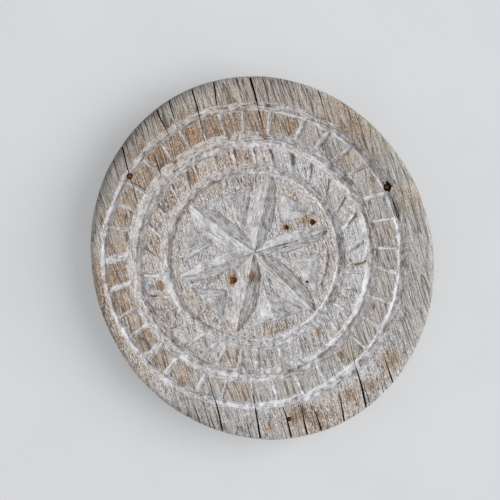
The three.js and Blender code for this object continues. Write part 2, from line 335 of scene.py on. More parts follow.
# %% Rosette
ROSETTE_CENTRE = np.array([-3.8, 6.2])
PETAL_DEPTH = 3.1
KEEL_WAVER = 0.9
EDGE_WAVER = 0.12
POCKET_WAVER = 0.7
TINY = 1e-6
STOP_CUT = 0.4
STOP_RUN = 0.6
PETAL_MARK = 1100
PETAL_MARK_STEP = 40
POCKET_MARK = 1500
POCKET_MARK_STEP = 40
WALL_MARK_STEP = 10
PETALS = [
    (55.0, 59.0, 11.6, 8.2), (122.0, 60.5, 11.8, 8.8), (178.0, 60.0, 7.0, 7.8),
    (235.8, 61.5, 9.8, 9.6), (293.8, 64.0, 9.6, 7.8), (353.4, 57.0, 7.8, 6.8),
]
POCKETS = [
    (2.8, (100.1, 49.0), (68.9, 53.2), (100.2, 14.6), (91.7, 41.0)),
    (3.2, (43.7, 49.8), (9.6, 55.2), (24.4, 29.1), (25.6, 42.6)),
    (2.2, (337.2, 48.7), (324.4, 28.7), (301.6, 58.3), (316.8, 46.0)),
    (3.5, (263.2, 30.0), (246.7, 57.6), (291.7, 60.5), (264.7, 51.5)),
    (3.0, (185.4, 56.3), (212.0, 34.7), (225.0, 58.8), (207.7, 47.6)),
    (2.8, (135.1, 54.2), (146.2, 30.6), (167.0, 54.1), (151.7, 49.4)),
]


def on_rosette(degrees, radius):
    angle = np.radians(degrees)
    return radius * np.array([np.cos(angle), np.sin(angle)])


def carve_petals(relief, x, y):
    for number, (degrees, length, left, right) in enumerate(PETALS):
        ahead = on_rosette(degrees, 1.0)
        along = x * ahead[0] + y * ahead[1]
        across = y * ahead[0] - x * ahead[1] + KEEL_WAVER * wander(along / 8, number + 0.5, 66)
        share = along / length
        lens = np.clip(4 * share * (1 - share), 0, 1) ** 0.65
        waver = 1 + EDGE_WAVER * wander(along / 5, np.where(across > 0, 0.5, 9.5) + number, 67)
        half = np.where(across > 0, left, right) * lens * waver + TINY
        depth = PETAL_DEPTH * lens ** 0.6 * np.clip(1 - np.abs(across) / half, 0, 1)
        depth += STOP_CUT * np.clip((half - np.abs(across)) / STOP_RUN, 0, 1) * (lens > 0)
        relief.carve(depth, across, along, PETAL_MARK + PETAL_MARK_STEP * number)


def carve_pockets(relief, x, y):
    for number, (deep, *spots) in enumerate(POCKETS):
        *corners, floor = [on_rosette(*spot) for spot in spots]
        inside = np.full_like(x, 1.0)
        across = np.zeros_like(x)
        along = np.zeros_like(x)
        wall = np.zeros_like(x)
        for turn, (first, second) in enumerate(zip(corners, corners[1:] + corners[:1])):
            edge = (second - first) / np.hypot(*(second - first))
            waver = POCKET_WAVER * wander(x / 5, y / 5, 68)
            here = edge[0] * (y - first[1]) - edge[1] * (x - first[0]) + waver
            deepest = edge[0] * (floor[1] - first[1]) - edge[1] * (floor[0] - first[0])
            nearer = here / deepest < inside
            inside = np.where(nearer, here / deepest, inside)
            across = np.where(nearer, here, across)
            along = np.where(nearer, x * edge[0] + y * edge[1], along)
            wall = np.where(nearer, WALL_MARK_STEP * turn, wall)
        depth = deep * np.clip(inside, 0, 1) + STOP_CUT * np.clip(across / STOP_RUN, 0, 1) * (inside > 0)
        relief.carve(depth, across, along, POCKET_MARK + POCKET_MARK_STEP * number + wall)


print(len(PETALS), "petals and", len(POCKETS), "pockets")

# %% [markdown]
# Round the rosette the carver left rows of short nicks, and one long slip of the gouge beside the ring.
# They are shallow, but they catch the raking light. A row runs from one point to another, about the
# rosette.

# %% Nicks beside the rosette
NICK_DEPTH = 0.55
NICK_PITCH = 2.3
NICK_WIDTH = 1.1
NICK_MARK = 2000
SLIP_MARK = 2100
NICK_ROWS = [
    (62.0, 56.5, 90.0, 56.5, 5.5), (250.0, 58.5, 276.0, 58.5, 5.5), (191.0, 33.0, 190.0, 55.0, 4.0),
    (205.0, 59.5, 225.0, 60.0, 3.5),
]
SLIP = (345.0, 307.0, 55.3, 1.9, 2.0)


def carve_nicks(relief, x, y):
    degrees, radius = polar(x, y, (0.0, 0.0))
    for start, start_radius, end, end_radius, length in NICK_ROWS:
        run = np.hypot(*(on_rosette(end, end_radius) - on_rosette(start, start_radius)))
        count = round(run / NICK_PITCH)
        row = [
            (start + (end - start) * k / count, start_radius + (end_radius - start_radius) * k / count)
            for k in range(count + 1)
        ]
        places = np.array([on_rosette(*spot) for spot in row])
        ahead = np.gradient(places, axis=0)
        ahead /= np.hypot(ahead[:, 0], ahead[:, 1])[:, None]
        for number, (place, way) in enumerate(zip(places, ahead)):
            slip = wander(number * 0.9, length, 65)
            off = (x - place[0]) * way[0] + (y - place[1]) * way[1] - 0.9 * slip
            over = (y - place[1]) * way[0] - (x - place[0]) * way[1]
            within = np.abs(over) < length * (0.4 + 0.25 * slip)
            depth = NICK_DEPTH * np.clip(1 - np.abs(off) / (NICK_WIDTH / 2), 0, 1) * within
            relief.carve(depth, off, over, NICK_MARK)
    start, end, at, half, deep = SLIP
    share = ((start - degrees) % 360) / (start - end)
    lens = np.clip(4 * share * (1 - share), 0, 1) * (share < 1)
    relief.carve(deep * np.clip(lens - np.abs(radius - at) / half, 0, 1), radius, degrees, SLIP_MARK)


print(len(NICK_ROWS), "rows of nicks")

# %% [markdown]
# All of it comes together here. Every block also keeps its own height, as hand-levelled work does.
# Weathering then raises the hard grain and leaves each flat a little hollow. The grain runs nearly along
# the board, a few degrees off, so those ripples are stretched that way. In the carving the gouge left short
# scoops instead.

# %% The carved and weathered face
BLOCK_DROP = 0.45
GRAIN_LEAN = math.radians(-5.0)
ROSETTE_REACH = 63.0
SCOOPED_REACHES = (ROSETTE_REACH, 90.0, 114.0)
SCOOPED_LEAST = (0.5, 0.45, 0.3)
WEATHER_LOSS = 0.45
rng = np.random.default_rng(5)
OUTER_DROPS = rng.uniform(0, BLOCK_DROP, len(OUTER_CUTS) + 1)
INNER_DROPS = rng.uniform(0, BLOCK_DROP, len(INNER_CUTS) + 1)


def block_number(cuts, degrees):
    middles = np.array([(inner + outer) / 2 for inner, outer, _, _ in cuts])
    return np.searchsorted(middles, (degrees - middles[0]) % 360 + middles[0])


def grain_axes(x, y):
    across = x * math.cos(GRAIN_LEAN) + y * math.sin(GRAIN_LEAN)
    along = y * math.cos(GRAIN_LEAN) - x * math.sin(GRAIN_LEAN)
    return across, along


def carved_face(x, y):
    relief = Relief(x, y)
    outer = relief.between("outer_blocks_in", "outer_blocks_out")
    inner = relief.between("inner_blocks_in", "inner_blocks_out")
    relief.level[outer] = OUTER_DROPS[block_number(OUTER_CUTS, relief.degrees[outer])]
    relief.level[inner] = INNER_DROPS[block_number(INNER_CUTS, relief.degrees[inner])]
    carve_grooves(relief)
    carve_cuts(relief, OUTER_CUTS, "outer_blocks_in", "outer_blocks_out")
    carve_cuts(relief, INNER_CUTS, "inner_blocks_in", "inner_blocks_out", INNER_CHIP)
    middle = Relief(x, y)
    from_centre = (x - ROSETTE_CENTRE[0], y - ROSETTE_CENTRE[1])
    carve_petals(middle, *from_centre)
    carve_pockets(middle, *from_centre)
    carve_nicks(middle, *from_centre)
    inside = relief.radius < relief.lips["rosette_edge"]
    relief.carve(np.where(inside, middle.depth, 0), *middle.stroke.T)
    return relief


def weathering(relief):
    across, along = grain_axes(relief.x, relief.y)
    ridges = 0.13 * wander(across / 2.2, along / 16, 31) + 0.16 * wander(across / 6, along / 40, 32)
    hollows = 0.22 * relief.uneven(26, 33)
    scoops = 0.5 * relief.uneven(3.4, 34) + 0.35 * relief.uneven(1.8, 35)
    least = np.select([relief.radius < reach for reach in SCOOPED_REACHES], SCOOPED_LEAST, 0.0)
    carved = np.maximum(np.clip(relief.depth / 1.2, 0, 1), least)
    carved = np.where(relief.radius < ROSETTE_REACH, least / (1 + relief.depth), carved)
    return (ridges + hollows) * (1 - 0.5 * carved) + scoops * carved + WEATHER_LOSS


def face_points(ring):
    relief = carved_face(ring[:, 0].copy(), ring[:, 1].copy())
    return np.column_stack([ring, FACE - np.maximum(relief.depth, relief.level) - weathering(relief)])


print("depth in the middle groove:", round(FACE - face_points(np.array([[83.0, 3.6]]))[0, 2], 2), "mm")

# %% [markdown]
# The top is one net of rings and columns that follows the carving. Rings of the net run along the lips, and
# columns gather at the bottom and edges of every cut, so that the cuts stay crisp without a far finer mesh.
# A modifier could cut each groove instead, but a net built from the lips keeps their waver and gives clean
# faces.

# %% Columns of the net
COLUMNS = 704
STEP = 360 / COLUMNS
EVEN = np.arange(COLUMNS) * STEP


def gathered(cuts, end, radius):
    keys = []
    places = []
    for cut in cuts:
        mark = round((cut[0] + cut[1]) / 2 / STEP)
        half = math.degrees(cut[2] / 2 / radius)
        reach = max(1, round(half / STEP / 2))
        keys += [mark - 2 * reach, mark - reach, mark, mark + reach, mark + 2 * reach]
        places += [cut[end] + half * off for off in (-1.0, -0.55, 0.0, 0.55, 1.0)]
    keys = np.array(keys)
    places = np.array(places)
    keys = np.concatenate([keys - COLUMNS, keys, keys + COLUMNS])
    places = np.concatenate([places - 360, places, places + 360])
    return np.interp(np.arange(COLUMNS), keys, places)


inner_in = gathered(INNER_CUTS, 0, LIPS["inner_blocks_in"][0])
inner_out = gathered(INNER_CUTS, 1, LIPS["inner_blocks_out"][0])
outer_in = gathered(OUTER_CUTS, 0, LIPS["outer_blocks_in"][0])
outer_out = gathered(OUTER_CUTS, 1, LIPS["outer_blocks_out"][0])
print("closest columns:", round(float(np.diff(outer_in).min()), 3), "degrees apart")

# %% [markdown]
# The oval edge is rounded over at the top and eased below. Its outline is an ellipse, because the board
# shrank across the grain as it dried, and years of handling left it slightly uneven, always inside the true
# oval.

# %% Rings of the net
TOP_EDGE = 5.0
BOTTOM_EDGE = 3.0
EDGE_WEAR = 0.6
HUB = 19.0


def turns(columns):
    return 2 * np.pi * np.arange(columns) / columns


def heading(angle):
    return np.column_stack([np.cos(angle), np.sin(angle)])


def oval(degrees, inset):
    angle = np.radians(degrees)
    wear = EDGE_WEAR * (0.5 + 0.5 * ring_wander(degrees, 40, 41))
    size = 1 / np.hypot(np.cos(angle) / HALF_WIDTH, np.sin(angle) / HALF_LENGTH)
    return heading(angle) * (size - wear - inset)[:, None]


def along_lip(name, degrees, off=0.0):
    away = lip(name, degrees) + off
    return RING_CENTRE + heading(np.radians(degrees)) * away[:, None]


def round_rosette(columns, radius):
    return ROSETTE_CENTRE + radius * heading(turns(columns))


STATIONS = [
    (round_rosette(COLUMNS, HUB), 0),
    (along_lip("rosette_edge", EVEN, -SHOULDER), 40),
    (along_lip("rosette_edge", EVEN), 1),
    (along_lip("inner_floor", 0.5 * (EVEN + inner_in)), 3),
    (along_lip("inner_blocks_in", inner_in), 6),
    (along_lip("inner_blocks_in", inner_in, SHOULDER), 1),
    (along_lip("inner_blocks_out", inner_out, -SHOULDER), 10),
    (along_lip("inner_blocks_out", inner_out), 1),
    (along_lip("middle_floor", 0.5 * (inner_out + outer_in)), 6),
    (along_lip("outer_blocks_in", outer_in), 7),
    (along_lip("outer_blocks_in", outer_in, SHOULDER), 1),
    (along_lip("outer_blocks_out", outer_out, -SHOULDER), 12),
    (along_lip("outer_blocks_out", outer_out), 1),
    (along_lip("outer_floor", 0.5 * (outer_out + EVEN)), 3),
    (along_lip("border_lip", EVEN), 5),
    (along_lip("border_lip", EVEN, SHOULDER), 1),
    (oval(EVEN, TOP_EDGE), 11),
]
top_rings = [STATIONS[0][0]]
for (start, _), (end, steps) in zip(STATIONS, STATIONS[1:]):
    top_rings += [start + (end - start) * step / steps for step in range(1, steps + 1)]
print(len(top_rings), "rings over the face")

# %% [markdown]
# A helper collects the rings and stitches each to the next. Where a ring has a quarter of the points of its
# neighbour, one many-sided face bridges them, so the middle of the board doesn't crowd into a point.

# %% Stitching rings into a skin
def scaled_mesh(name, points, faces):
    made = bpy.data.meshes.new(name)
    made.from_pydata([tuple(MM * v for v in point) for point in points], [], faces)
    return made


class Skin:
    """Rings of points, each stitched to the one before it, closed at both ends."""

    def __init__(self):
        self.points = []
        self.faces = []
        self.last = None

    def add(self, ring):
        start = len(self.points)
        self.points += [tuple(point) for point in ring]
        here = list(range(start, len(self.points)))
        if self.last is None:
            self.faces.append(here)
        else:
            self.stitch(self.last, here)
        self.last = here

    def stitch(self, before, here):
        fine, coarse = (here, before) if len(here) > len(before) else (before, here)
        many = len(fine) // len(coarse)
        for step in range(len(coarse)):
            run = [fine[(step * many + k) % len(fine)] for k in range(many + 1)]
            pair = [coarse[step], coarse[(step + 1) % len(coarse)]]
            if fine is here:
                self.faces.append([pair[0], *run, pair[1]])
            else:
                self.faces.append([run[0], *pair, *run[:0:-1]])

    def close(self):
        self.faces.append(self.last[::-1])

    def mesh(self, name):
        made = scaled_mesh(name, self.points, self.faces)
        made.validate()
        return made


def new_piece(name, mesh):
    piece = bpy.data.objects.new(name, mesh)
    bpy.context.scene.collection.objects.link(piece)
    return piece


print("skins are stitched ring to ring")

# %% [markdown]
# The skin of the board is laid on ring by ring: over the face from the hub outward, round the edge, down
# the side and back under to the middle. The side ripples a little, as a drawknife leaves it, and the
# underside is left uneven.

# %% Skin of the board
SIDE_STEPS = 8
EDGE_STEPS = 5
SIDE_RIPPLE = 0.25
UNDER_HOLLOW = 0.3
HUB_RINGS = ((44, 1.2), (44, 2.6), (44, 4.2), (176, 6.0), (176, 8.2), (176, 10.5), (176, 13.0), (176, 16.0))
UNDER_RINGS = ((176, 6), (176, 14), (176, 24), (176, 36), (176, 50), (176, 65), (44, 85), (44, 108))


def at_height(ring, z):
    return np.column_stack([ring, np.broadcast_to(z, len(ring))])


board_skin = Skin()
for columns, radius in HUB_RINGS:
    board_skin.add(face_points(round_rosette(columns, radius)))
for ring in top_rings:
    board_skin.add(face_points(ring))
rim_sink = face_points(top_rings[-1])[:, 2] - FACE
for step in range(1, EDGE_STEPS + 1):
    turn = step / EDGE_STEPS * math.pi / 2
    ring = oval(EVEN, TOP_EDGE * (1 - math.sin(turn)))
    board_skin.add(at_height(ring, FACE - TOP_EDGE * (1 - math.cos(turn)) + rim_sink * math.cos(turn)))
side_high = FACE - TOP_EDGE
side_low = UNDERSIDE + BOTTOM_EDGE
for step in range(1, SIDE_STEPS + 1):
    z = side_high + (side_low - side_high) * step / SIDE_STEPS
    ripple = SIDE_RIPPLE + SIDE_RIPPLE * wander(EVEN * 1.3, z / 5, 42)
    board_skin.add(at_height(oval(EVEN, ripple), z))
for step in range(1, EDGE_STEPS):
    turn = step / (EDGE_STEPS - 1) * math.pi / 2
    ring = oval(EVEN, 2 * SIDE_RIPPLE + BOTTOM_EDGE * (1 - math.cos(turn)))
    board_skin.add(at_height(ring, side_low - BOTTOM_EDGE * math.sin(turn)))
for columns, inset in UNDER_RINGS:
    ring = oval(360 * np.arange(columns) / columns, inset)
    hollow = UNDER_HOLLOW + UNDER_HOLLOW * wander(ring[:, 0] / 9, ring[:, 1] / 30, 43)
    board_skin.add(at_height(ring, UNDERSIDE + hollow))
board_skin.close()
board = new_piece("carved_board", board_skin.mesh("carved_board"))
print(len(board.data.polygons), "faces in the board")

# %% [markdown]
# Drying has split the ends of the board. Each check opens at the rim and closes along the grain, so it is
# cut out with a thin blade that tapers in width and depth. A painted line would vanish where the check
# meets the rim. The large ones are listed one by one, and fine ones fill the gaps between them.

# %% Drying checks
CHECKS = [
    (43.1, 130.3, 37.6, 89.3, 1.1), (15.6, 138.2, 10.8, 114.0, 0.9), (-1.1, 139.2, -8.2, 91.4, 0.8),
    (-20.1, 138.7, -23.1, 117.1, 0.8), (-32.1, 135.4, -30.6, 108.7, 0.9), (51.6, 126.1, 49.9, 105.6, 0.6),
    (63.5, 117.2, 63.5, 105.0, 0.55), (33.1, 132.8, 32.3, 112.7, 0.55), (86.8, 102.1, 83.9, 78.7, 0.6),
    (-67.1, 118.0, -71.9, 73.1, 0.8), (-43.5, 131.0, -45.0, 118.0, 0.6),
    (-90.1, -98.0, -89.5, -77.5, 0.65), (-77.3, -114.2, -70.2, -60.0, 0.9),
    (-52.5, -127.5, -44.0, -84.0, 1.0), (-30.5, -135.7, -27.6, -106.2, 1.1),
    (-18.3, -138.1, -14.8, -111.7, 1.0), (-7.4, -139.3, -5.7, -114.2, 1.0),
    (11.3, -139.4, 16.3, -111.1, 0.95), (31.0, -135.1, 37.0, -86.1, 1.05),
    (56.4, -126.7, 57.4, -104.0, 1.05), (-81.7, -102.6, -81.2, -87.3, 0.5),
]
CHECK_STEPS = 9
CHECK_OUTSIDE = 5.0
RIM_CHECK_DEPTH = 12.0
END_CHECK_DEPTH = 2.2
CUTTER_CLEAR = 1.0
FINE_CHECKS = 46
FINE_GAP = 2.6
FINE_LEAN = 0.09
FINE_TRIES = 40
FINE_SPREAD = 0.85
FINE_LENGTHS = (5, 19)
FINE_WIDTHS = (0.3, 0.55)


class Blades:
    """Cutters gathered in one mesh: wedges for checks, pegs for holes."""

    def __init__(self, name):
        self.name = name
        self.points = []
        self.faces = []

    def blade(self, path, widths, bottoms):
        start = len(self.points)
        ahead = path[-1] - path[0]
        side = np.array([-ahead[1], ahead[0]]) / np.hypot(*ahead)
        for spot, width, bottom in zip(path, widths, bottoms):
            for off in (width / 2, -width / 2):
                self.points.append((*(spot + side * off), FACE + CUTTER_CLEAR))
            self.points.append((*spot, bottom))
        for step in range(len(path) - 1):
            a = start + 3 * step
            b = a + 3
            self.faces += [(a, a + 1, b + 1, b), (a + 1, a + 2, b + 2, b + 1), (a + 2, a, b, b + 2)]
        last = start + 3 * (len(path) - 1)
        self.faces += [(start + 2, start + 1, start), (last, last + 1, last + 2)]

    def peg(self, place, radii, heights, columns, seed, rough):
        start = len(self.points)
        angle = turns(columns)
        uneven = 1 + rough * wander(1.3 * np.cos(angle) + 5, 1.3 * np.sin(angle) + 5, seed)
        for radius, z in zip(radii, heights):
            ring = place + (radius * uneven)[:, None] * heading(angle)
            self.points += [(x, y, z) for x, y in ring]
        self.faces.append([start + k for k in range(columns)][::-1])
        for level in range(len(radii) - 1):
            low = start + level * columns
            for k in range(columns):
                after = (k + 1) % columns
                self.faces.append((low + k, low + after, low + columns + after, low + columns + k))
        top = start + (len(radii) - 1) * columns
        self.faces.append([top + k for k in range(columns)])

    def piece(self, material):
        mesh = scaled_mesh(self.name, self.points, self.faces)
        mesh.materials.append(material)
        return new_piece(self.name, mesh)


def fine_checks():
    made = []
    for _ in range(FINE_TRIES * FINE_CHECKS):
        end = rng.choice((-1, 1))
        x = rng.uniform(-FINE_SPREAD, FINE_SPREAD) * HALF_WIDTH
        y = end * HALF_LENGTH * math.sqrt(1 - (x / HALF_WIDTH) ** 2)
        length = rng.uniform(*FINE_LENGTHS)
        others = [check for check in CHECKS + made if check[1] * end > 0]
        if all(min(abs(x - check[0]), abs(x - check[2])) > FINE_GAP for check in others):
            made.append((x, y, x - FINE_LEAN * end * length, y - end * length, rng.uniform(*FINE_WIDTHS)))
        if len(made) == FINE_CHECKS:
            break
    return made


checks = Blades("drying_checks")
share = np.linspace(0, 1, CHECK_STEPS)
for number, (rim_x, rim_y, end_x, end_y, width) in enumerate(CHECKS + fine_checks()):
    rim = np.array([rim_x, rim_y])
    end = np.array([end_x, end_y])
    out = (rim - end) / np.hypot(*(rim - end))
    path = rim + out * CHECK_OUTSIDE + np.outer(share, end - rim - out * CHECK_OUTSIDE)
    path[:, 0] += 0.9 * wander(share * 3.1, number + 0.5, 51) * np.sin(np.pi * share)
    widths = 1.35 * width * (1.25 - 1.1 * share ** 1.6)
    depths = (RIM_CHECK_DEPTH + (END_CHECK_DEPTH - RIM_CHECK_DEPTH) * share ** 0.5) * min(1, 0.4 + width)
    checks.blade(path, widths * (1 + CUTTER_CLEAR / depths), FACE - depths)
print(number + 1, "drying checks")

# %% [markdown]
# Worms have bored into the rosette and left brown pits, and a slip of the knife tore the groove below one
# nail. A few shorter checks lie away from the rim, along a keel and across some blocks. The nails go
# through the board into the feet, so their holes and the sockets of the feet are bored as well.

# %% Worm pits, torn places and drillings
KEEL_CHECKS = [(9.3, 4.4, 28.5, 1.9, 0.9), (14.0, 1.2, 24.0, 0.4, 0.6)]
TORN = [
    (108.4, 10.0, 107.3, -13.6, 0.8), (107.7, -2.0, 107.1, -13.8, 1.7), (109.4, 19.0, 108.1, 9.6, 2.6),
]
BLOCK_CHECKS = [
    (-69.9, 90.0, -72.4, 72.8, 0.45), (-46.2, 105.0, -48.2, 81.5, 0.42), (-68.6, 88.9, -62.4, 79.8, 0.34),
]
WORM_PITS = [
    (15.8, 30.8, 1.9), (5.4, 49.5, 2.7), (210.7, 26.5, 2.8), (240.1, 18.7, 2.4), (308.8, 45.9, 1.2),
]
PIT_DEPTH = 3.4
PIT_COLUMNS = 14
PIT_ROUGH = 0.4
PIT_SEED = 60
NAIL_HOLES = {"left": 2.2, "right": 2.4, "front": 1.55}
NAIL_HOLE_DEPTH = 3.4
HOLE_ROUGH = {"left": 0.08, "right": 0.5, "front": 0.08}
HOLE_COLUMNS = 28
HOLE_SEED = 70
SHANK_HOLE = 1.8
SOCKET_RADIUS = 7.8
SOCKET_DEPTH = 8.3
TEAR_SPREAD = 2.2
TEAR_DEPTH = 2.8
TEAR_BELLY = 2.4

for start_x, start_y, end_x, end_y, width in KEEL_CHECKS + TORN + BLOCK_CHECKS:
    path = np.array([start_x, start_y]) + np.outer(share, [end_x - start_x, end_y - start_y])
    path[:, 1] += 0.5 * wander(share * 4.3, width, 52)
    lens = 0.15 + np.sin(np.pi * share)
    checks.blade(path, TEAR_SPREAD * width * lens, FACE - TEAR_DEPTH - TEAR_BELLY * lens)

pits = Blades("worm_pits")
for number, (degrees, away, radius) in enumerate(WORM_PITS):
    place = ROSETTE_CENTRE + on_rosette(degrees, away)
    heights = FACE - np.array([PIT_DEPTH, 0.8 * PIT_DEPTH, 0.3 * PIT_DEPTH, -CUTTER_CLEAR])
    radii = (0.5 * radius, 0.8 * radius, radius, 1.2 * radius)
    pits.peg(place, radii, heights, PIT_COLUMNS, PIT_SEED + number, PIT_ROUGH)

drillings = Blades("drillings")
for number, side in enumerate(SIDES):
    head = NAIL_HOLES[side]
    socket_top = UNDERSIDE + SOCKET_DEPTH
    seat = FACE - NAIL_HOLE_DEPTH
    radii = (SOCKET_RADIUS, SOCKET_RADIUS, SHANK_HOLE, SHANK_HOLE, head, 1.15 * head)
    heights = (UNDERSIDE - CUTTER_CLEAR, socket_top, socket_top, seat, seat, FACE + CUTTER_CLEAR)
    drillings.peg(FOOT_PLACES[side], radii, heights, HOLE_COLUMNS, HOLE_SEED + number, HOLE_ROUGH[side])
print(len(WORM_PITS), "worm pits and", len(SIDES), "nail holes")

# %% [markdown]
# Shader maths reads best as plain arithmetic, so a small class wraps a socket and turns operators into Math
# nodes. One method adds every other node: it takes the node's type, its settings and what goes into its
# sockets.

# %% Finishes from nodes
class Wire:
    """The output of a node; an operator on it adds a Math node."""

    def __init__(self, finish, socket):
        self.finish = finish
        self.socket = socket

    def math(self, operation, first, second):
        return self.finish.node("ShaderNodeMath", {"operation": operation}, {0: first, 1: second})

    def __add__(self, other):
        return self.math("ADD", self, other)

    def __sub__(self, other):
        return self.math("SUBTRACT", self, other)

    def __rsub__(self, other):
        return self.math("SUBTRACT", other, self)

    def __mul__(self, other):
        return self.math("MULTIPLY", self, other)

    def __abs__(self):
        return self.math("ABSOLUTE", self, 0.0)

    __radd__ = __add__
    __rmul__ = __mul__


class Finish:
    """A material that is built up node by node."""

    def __init__(self, name):
        self.material = bpy.data.materials.new(name)
        self.material.use_nodes = True
        self.tree = self.material.node_tree
        self.shader = self.tree.nodes["Principled BSDF"]

    def node(self, kind, settings, inputs, out=0):
        made = self.tree.nodes.new(kind)
        for name, value in settings.items():
            setattr(made, name, value)
        for name, value in inputs.items():
            self.feed(made.inputs[name], value)
        return Wire(self, made.outputs[out])

    def feed(self, socket, value):
        if isinstance(value, Wire):
            self.tree.links.new(value.socket, socket)
        else:
            socket.default_value = value

    def noise(self, place, sizes, detail=3.0, roughness=0.6):
        scaled = self.node("ShaderNodeVectorMath", {"operation": "DIVIDE"}, {0: place, 1: sizes})
        inputs = {"Vector": scaled, "Scale": 1.0, "Detail": detail, "Roughness": roughness}
        return self.node("ShaderNodeTexNoise", {}, inputs)

    def between(self, value, low, high):
        inputs = {"Value": value, "From Min": low, "From Max": high}
        return self.node("ShaderNodeMapRange", {"interpolation_type": "SMOOTHSTEP"}, inputs)

    def lines(self, noise, width):
        return self.between(abs(noise - 0.5), width, 0.0)

    def mix(self, share, first, second):
        return self.node("ShaderNodeMix", {"data_type": "RGBA"}, {0: share, 6: first, 7: second}, 2)

    def attribute(self, name, out=2):
        return self.node("ShaderNodeAttribute", {"attribute_name": name}, {}, out)

    def place(self):
        spot = self.node("ShaderNodeTexCoord", {}, {}, 3)
        return self.node("ShaderNodeVectorMath", {"operation": "SCALE"}, {0: spot, 3: 1 / MM})

    def grain_place(self):
        inputs = {"Vector": self.place(), "Angle": -GRAIN_LEAN}
        return self.node("ShaderNodeVectorRotate", {"rotation_type": "Z_AXIS"}, inputs)

    def bump(self, height):
        return self.node("ShaderNodeBump", {}, {"Strength": 1.0, "Distance": MM, "Height": height})

    def wear(self, **sockets):
        for name, value in sockets.items():
            self.feed(self.shader.inputs[name.replace("_", " ")], value)
        return self.material


def shade(red, green, blue):
    parts = [v / 255 for v in (red, green, blue)]
    return (*[v / 12.92 if v <= 0.04045 else ((v + 0.055) / 1.055) ** 2.4 for v in parts], 1.0)


print("a pale grey in linear light:", [round(v, 2) for v in shade(212, 211, 211)])

# %% [markdown]
# The board is hardwood that has stood in the weather: grey where it is bare, tan where hands polished it,
# with dark splits along the grain. Its textures come first. Those of the wood are stretched along the
# grain, and those of the tool along its strokes. How tan, limed, dark or tooled a place is comes from the
# carving itself and is stored on the points of the mesh, further down.

# %% Textures of the weathered wood
class WeatheredWood(Finish):
    """A finish with its textures laid along the grain and along the strokes of the tool."""

    def __init__(self, name):
        super().__init__(name)
        self.tan = self.attribute("tan")
        self.lime = self.attribute("lime")
        self.dark = self.attribute("dark")
        self.tooled = self.attribute("tooled")
        self.scraped = self.attribute("scraped")
        self.lay_grain(self.grain_place())
        self.lay_strokes(self.attribute("stroke", 1))
        speckle = (0.7 + 2.0 * self.tan) * (self.fibre - 0.5) + 0.9 * (self.grit - 0.5)
        self.brown = self.tan + 1.2 * (self.blotch - 0.5) + 0.9 * (self.mottle - 0.5) + speckle
        self.coarse = 1.0 - 0.45 * self.scraped - 0.9 * (self.tooled - self.scraped)

    def lay_grain(self, grain):
        self.streak = self.noise(grain, (0.75, 13, 3), 3, 0.6)
        self.fibre = self.noise(grain, (0.8, 3, 2), 3, 0.7)
        self.grit = self.noise(grain, (0.7, 0.7, 0.7), 3, 0.7)
        self.fleck = self.noise(grain, (1.0, 1.5, 1.1), 2, 0.65)
        self.mottle = self.noise(grain, (3, 5, 4))
        self.blotch = self.noise(grain, (10, 20, 10))
        normal = self.node("ShaderNodeNewGeometry", {}, {}, 1)
        level = self.between(abs(self.node("ShaderNodeSeparateXYZ", {}, {0: normal}, 2)), 0.35, 0.7)
        self.splits = self.lines(self.noise(grain, (5, 60, 10), 1), 0.035) * level
        self.hairs = self.between(self.noise(grain, (0.7, 18, 4), 2), 0.56, 0.68) * level
        self.year_rings = self.between(self.noise(grain, (14, 90, 1.5), 2), 0.52, 0.62) * (1.0 - level)
        self.dashes = self.between(self.noise(grain, (0.8, 10, 4), 1), 0.62, 0.69)

    def lay_strokes(self, stroke):
        self.scrape = self.noise(stroke, (0.75, 8, 8), 3, 0.7)
        patchy = self.between(self.mottle, 0.36, 0.6)
        self.marks = self.lines(self.noise(stroke, (2.2, 20, 20), 2), 0.1) * patchy
        off_keel = self.node("ShaderNodeSeparateXYZ", {}, {0: stroke})
        self.keel = self.between(abs(off_keel), 0.5, 0.1)


print("textures of the wood ready")

# %% [markdown]
# The bare wood goes from grey through tan and brown to orange, with pale and dark streaks over it. The
# streaks grow faint where hands have rubbed the wood brown. Where the tool scraped it, the wood is pinkish
# instead.

# %% Bare wood
GREY_WOOD = shade(197, 194, 190)
TAN_WOOD = shade(198, 172, 147)
BROWN_WOOD = shade(158, 128, 101)
ORANGE_WOOD = shade(194, 138, 88)
DARK_GRAIN = shade(76, 66, 58)
PALE_GRAIN = shade(234, 231, 226)
BARE_CUT = shade(188, 172, 160)
BARE_SHADE = shade(128, 110, 98)


def bare_wood(finish):
    wood = finish.mix(finish.between(finish.brown, 0.1, 0.9), GREY_WOOD, TAN_WOOD)
    wood = finish.mix(finish.between(finish.brown, 0.75, 1.25), wood, BROWN_WOOD)
    wood = finish.mix(finish.between(finish.brown, 1.55, 1.95), wood, ORANGE_WOOD)
    rubbed = 1.0 - 0.55 * finish.between(finish.brown, 0.5, 1.0)
    wood = finish.mix(0.65 * rubbed * finish.between(finish.streak, 0.48, 0.41), wood, PALE_GRAIN)
    wood = finish.mix(0.34 * rubbed * finish.between(finish.streak, 0.53, 0.6), wood, DARK_GRAIN)
    wood = finish.mix(0.58 * finish.between(finish.fleck, 0.47, 0.4), wood, PALE_GRAIN)
    wood = finish.mix(0.66 * finish.between(finish.grit, 0.53, 0.63), wood, DARK_GRAIN)
    wood = finish.mix(0.7 * finish.splits + 0.35 * finish.hairs + 0.3 * finish.year_rings, wood, DARK_GRAIN)
    cut_wood = finish.mix(finish.between(finish.scrape, 0.4, 0.6), BARE_CUT, BARE_SHADE)
    return finish.mix(finish.scraped, wood, cut_wood)


print("tan wood in linear light:", [round(v, 2) for v in TAN_WOOD])
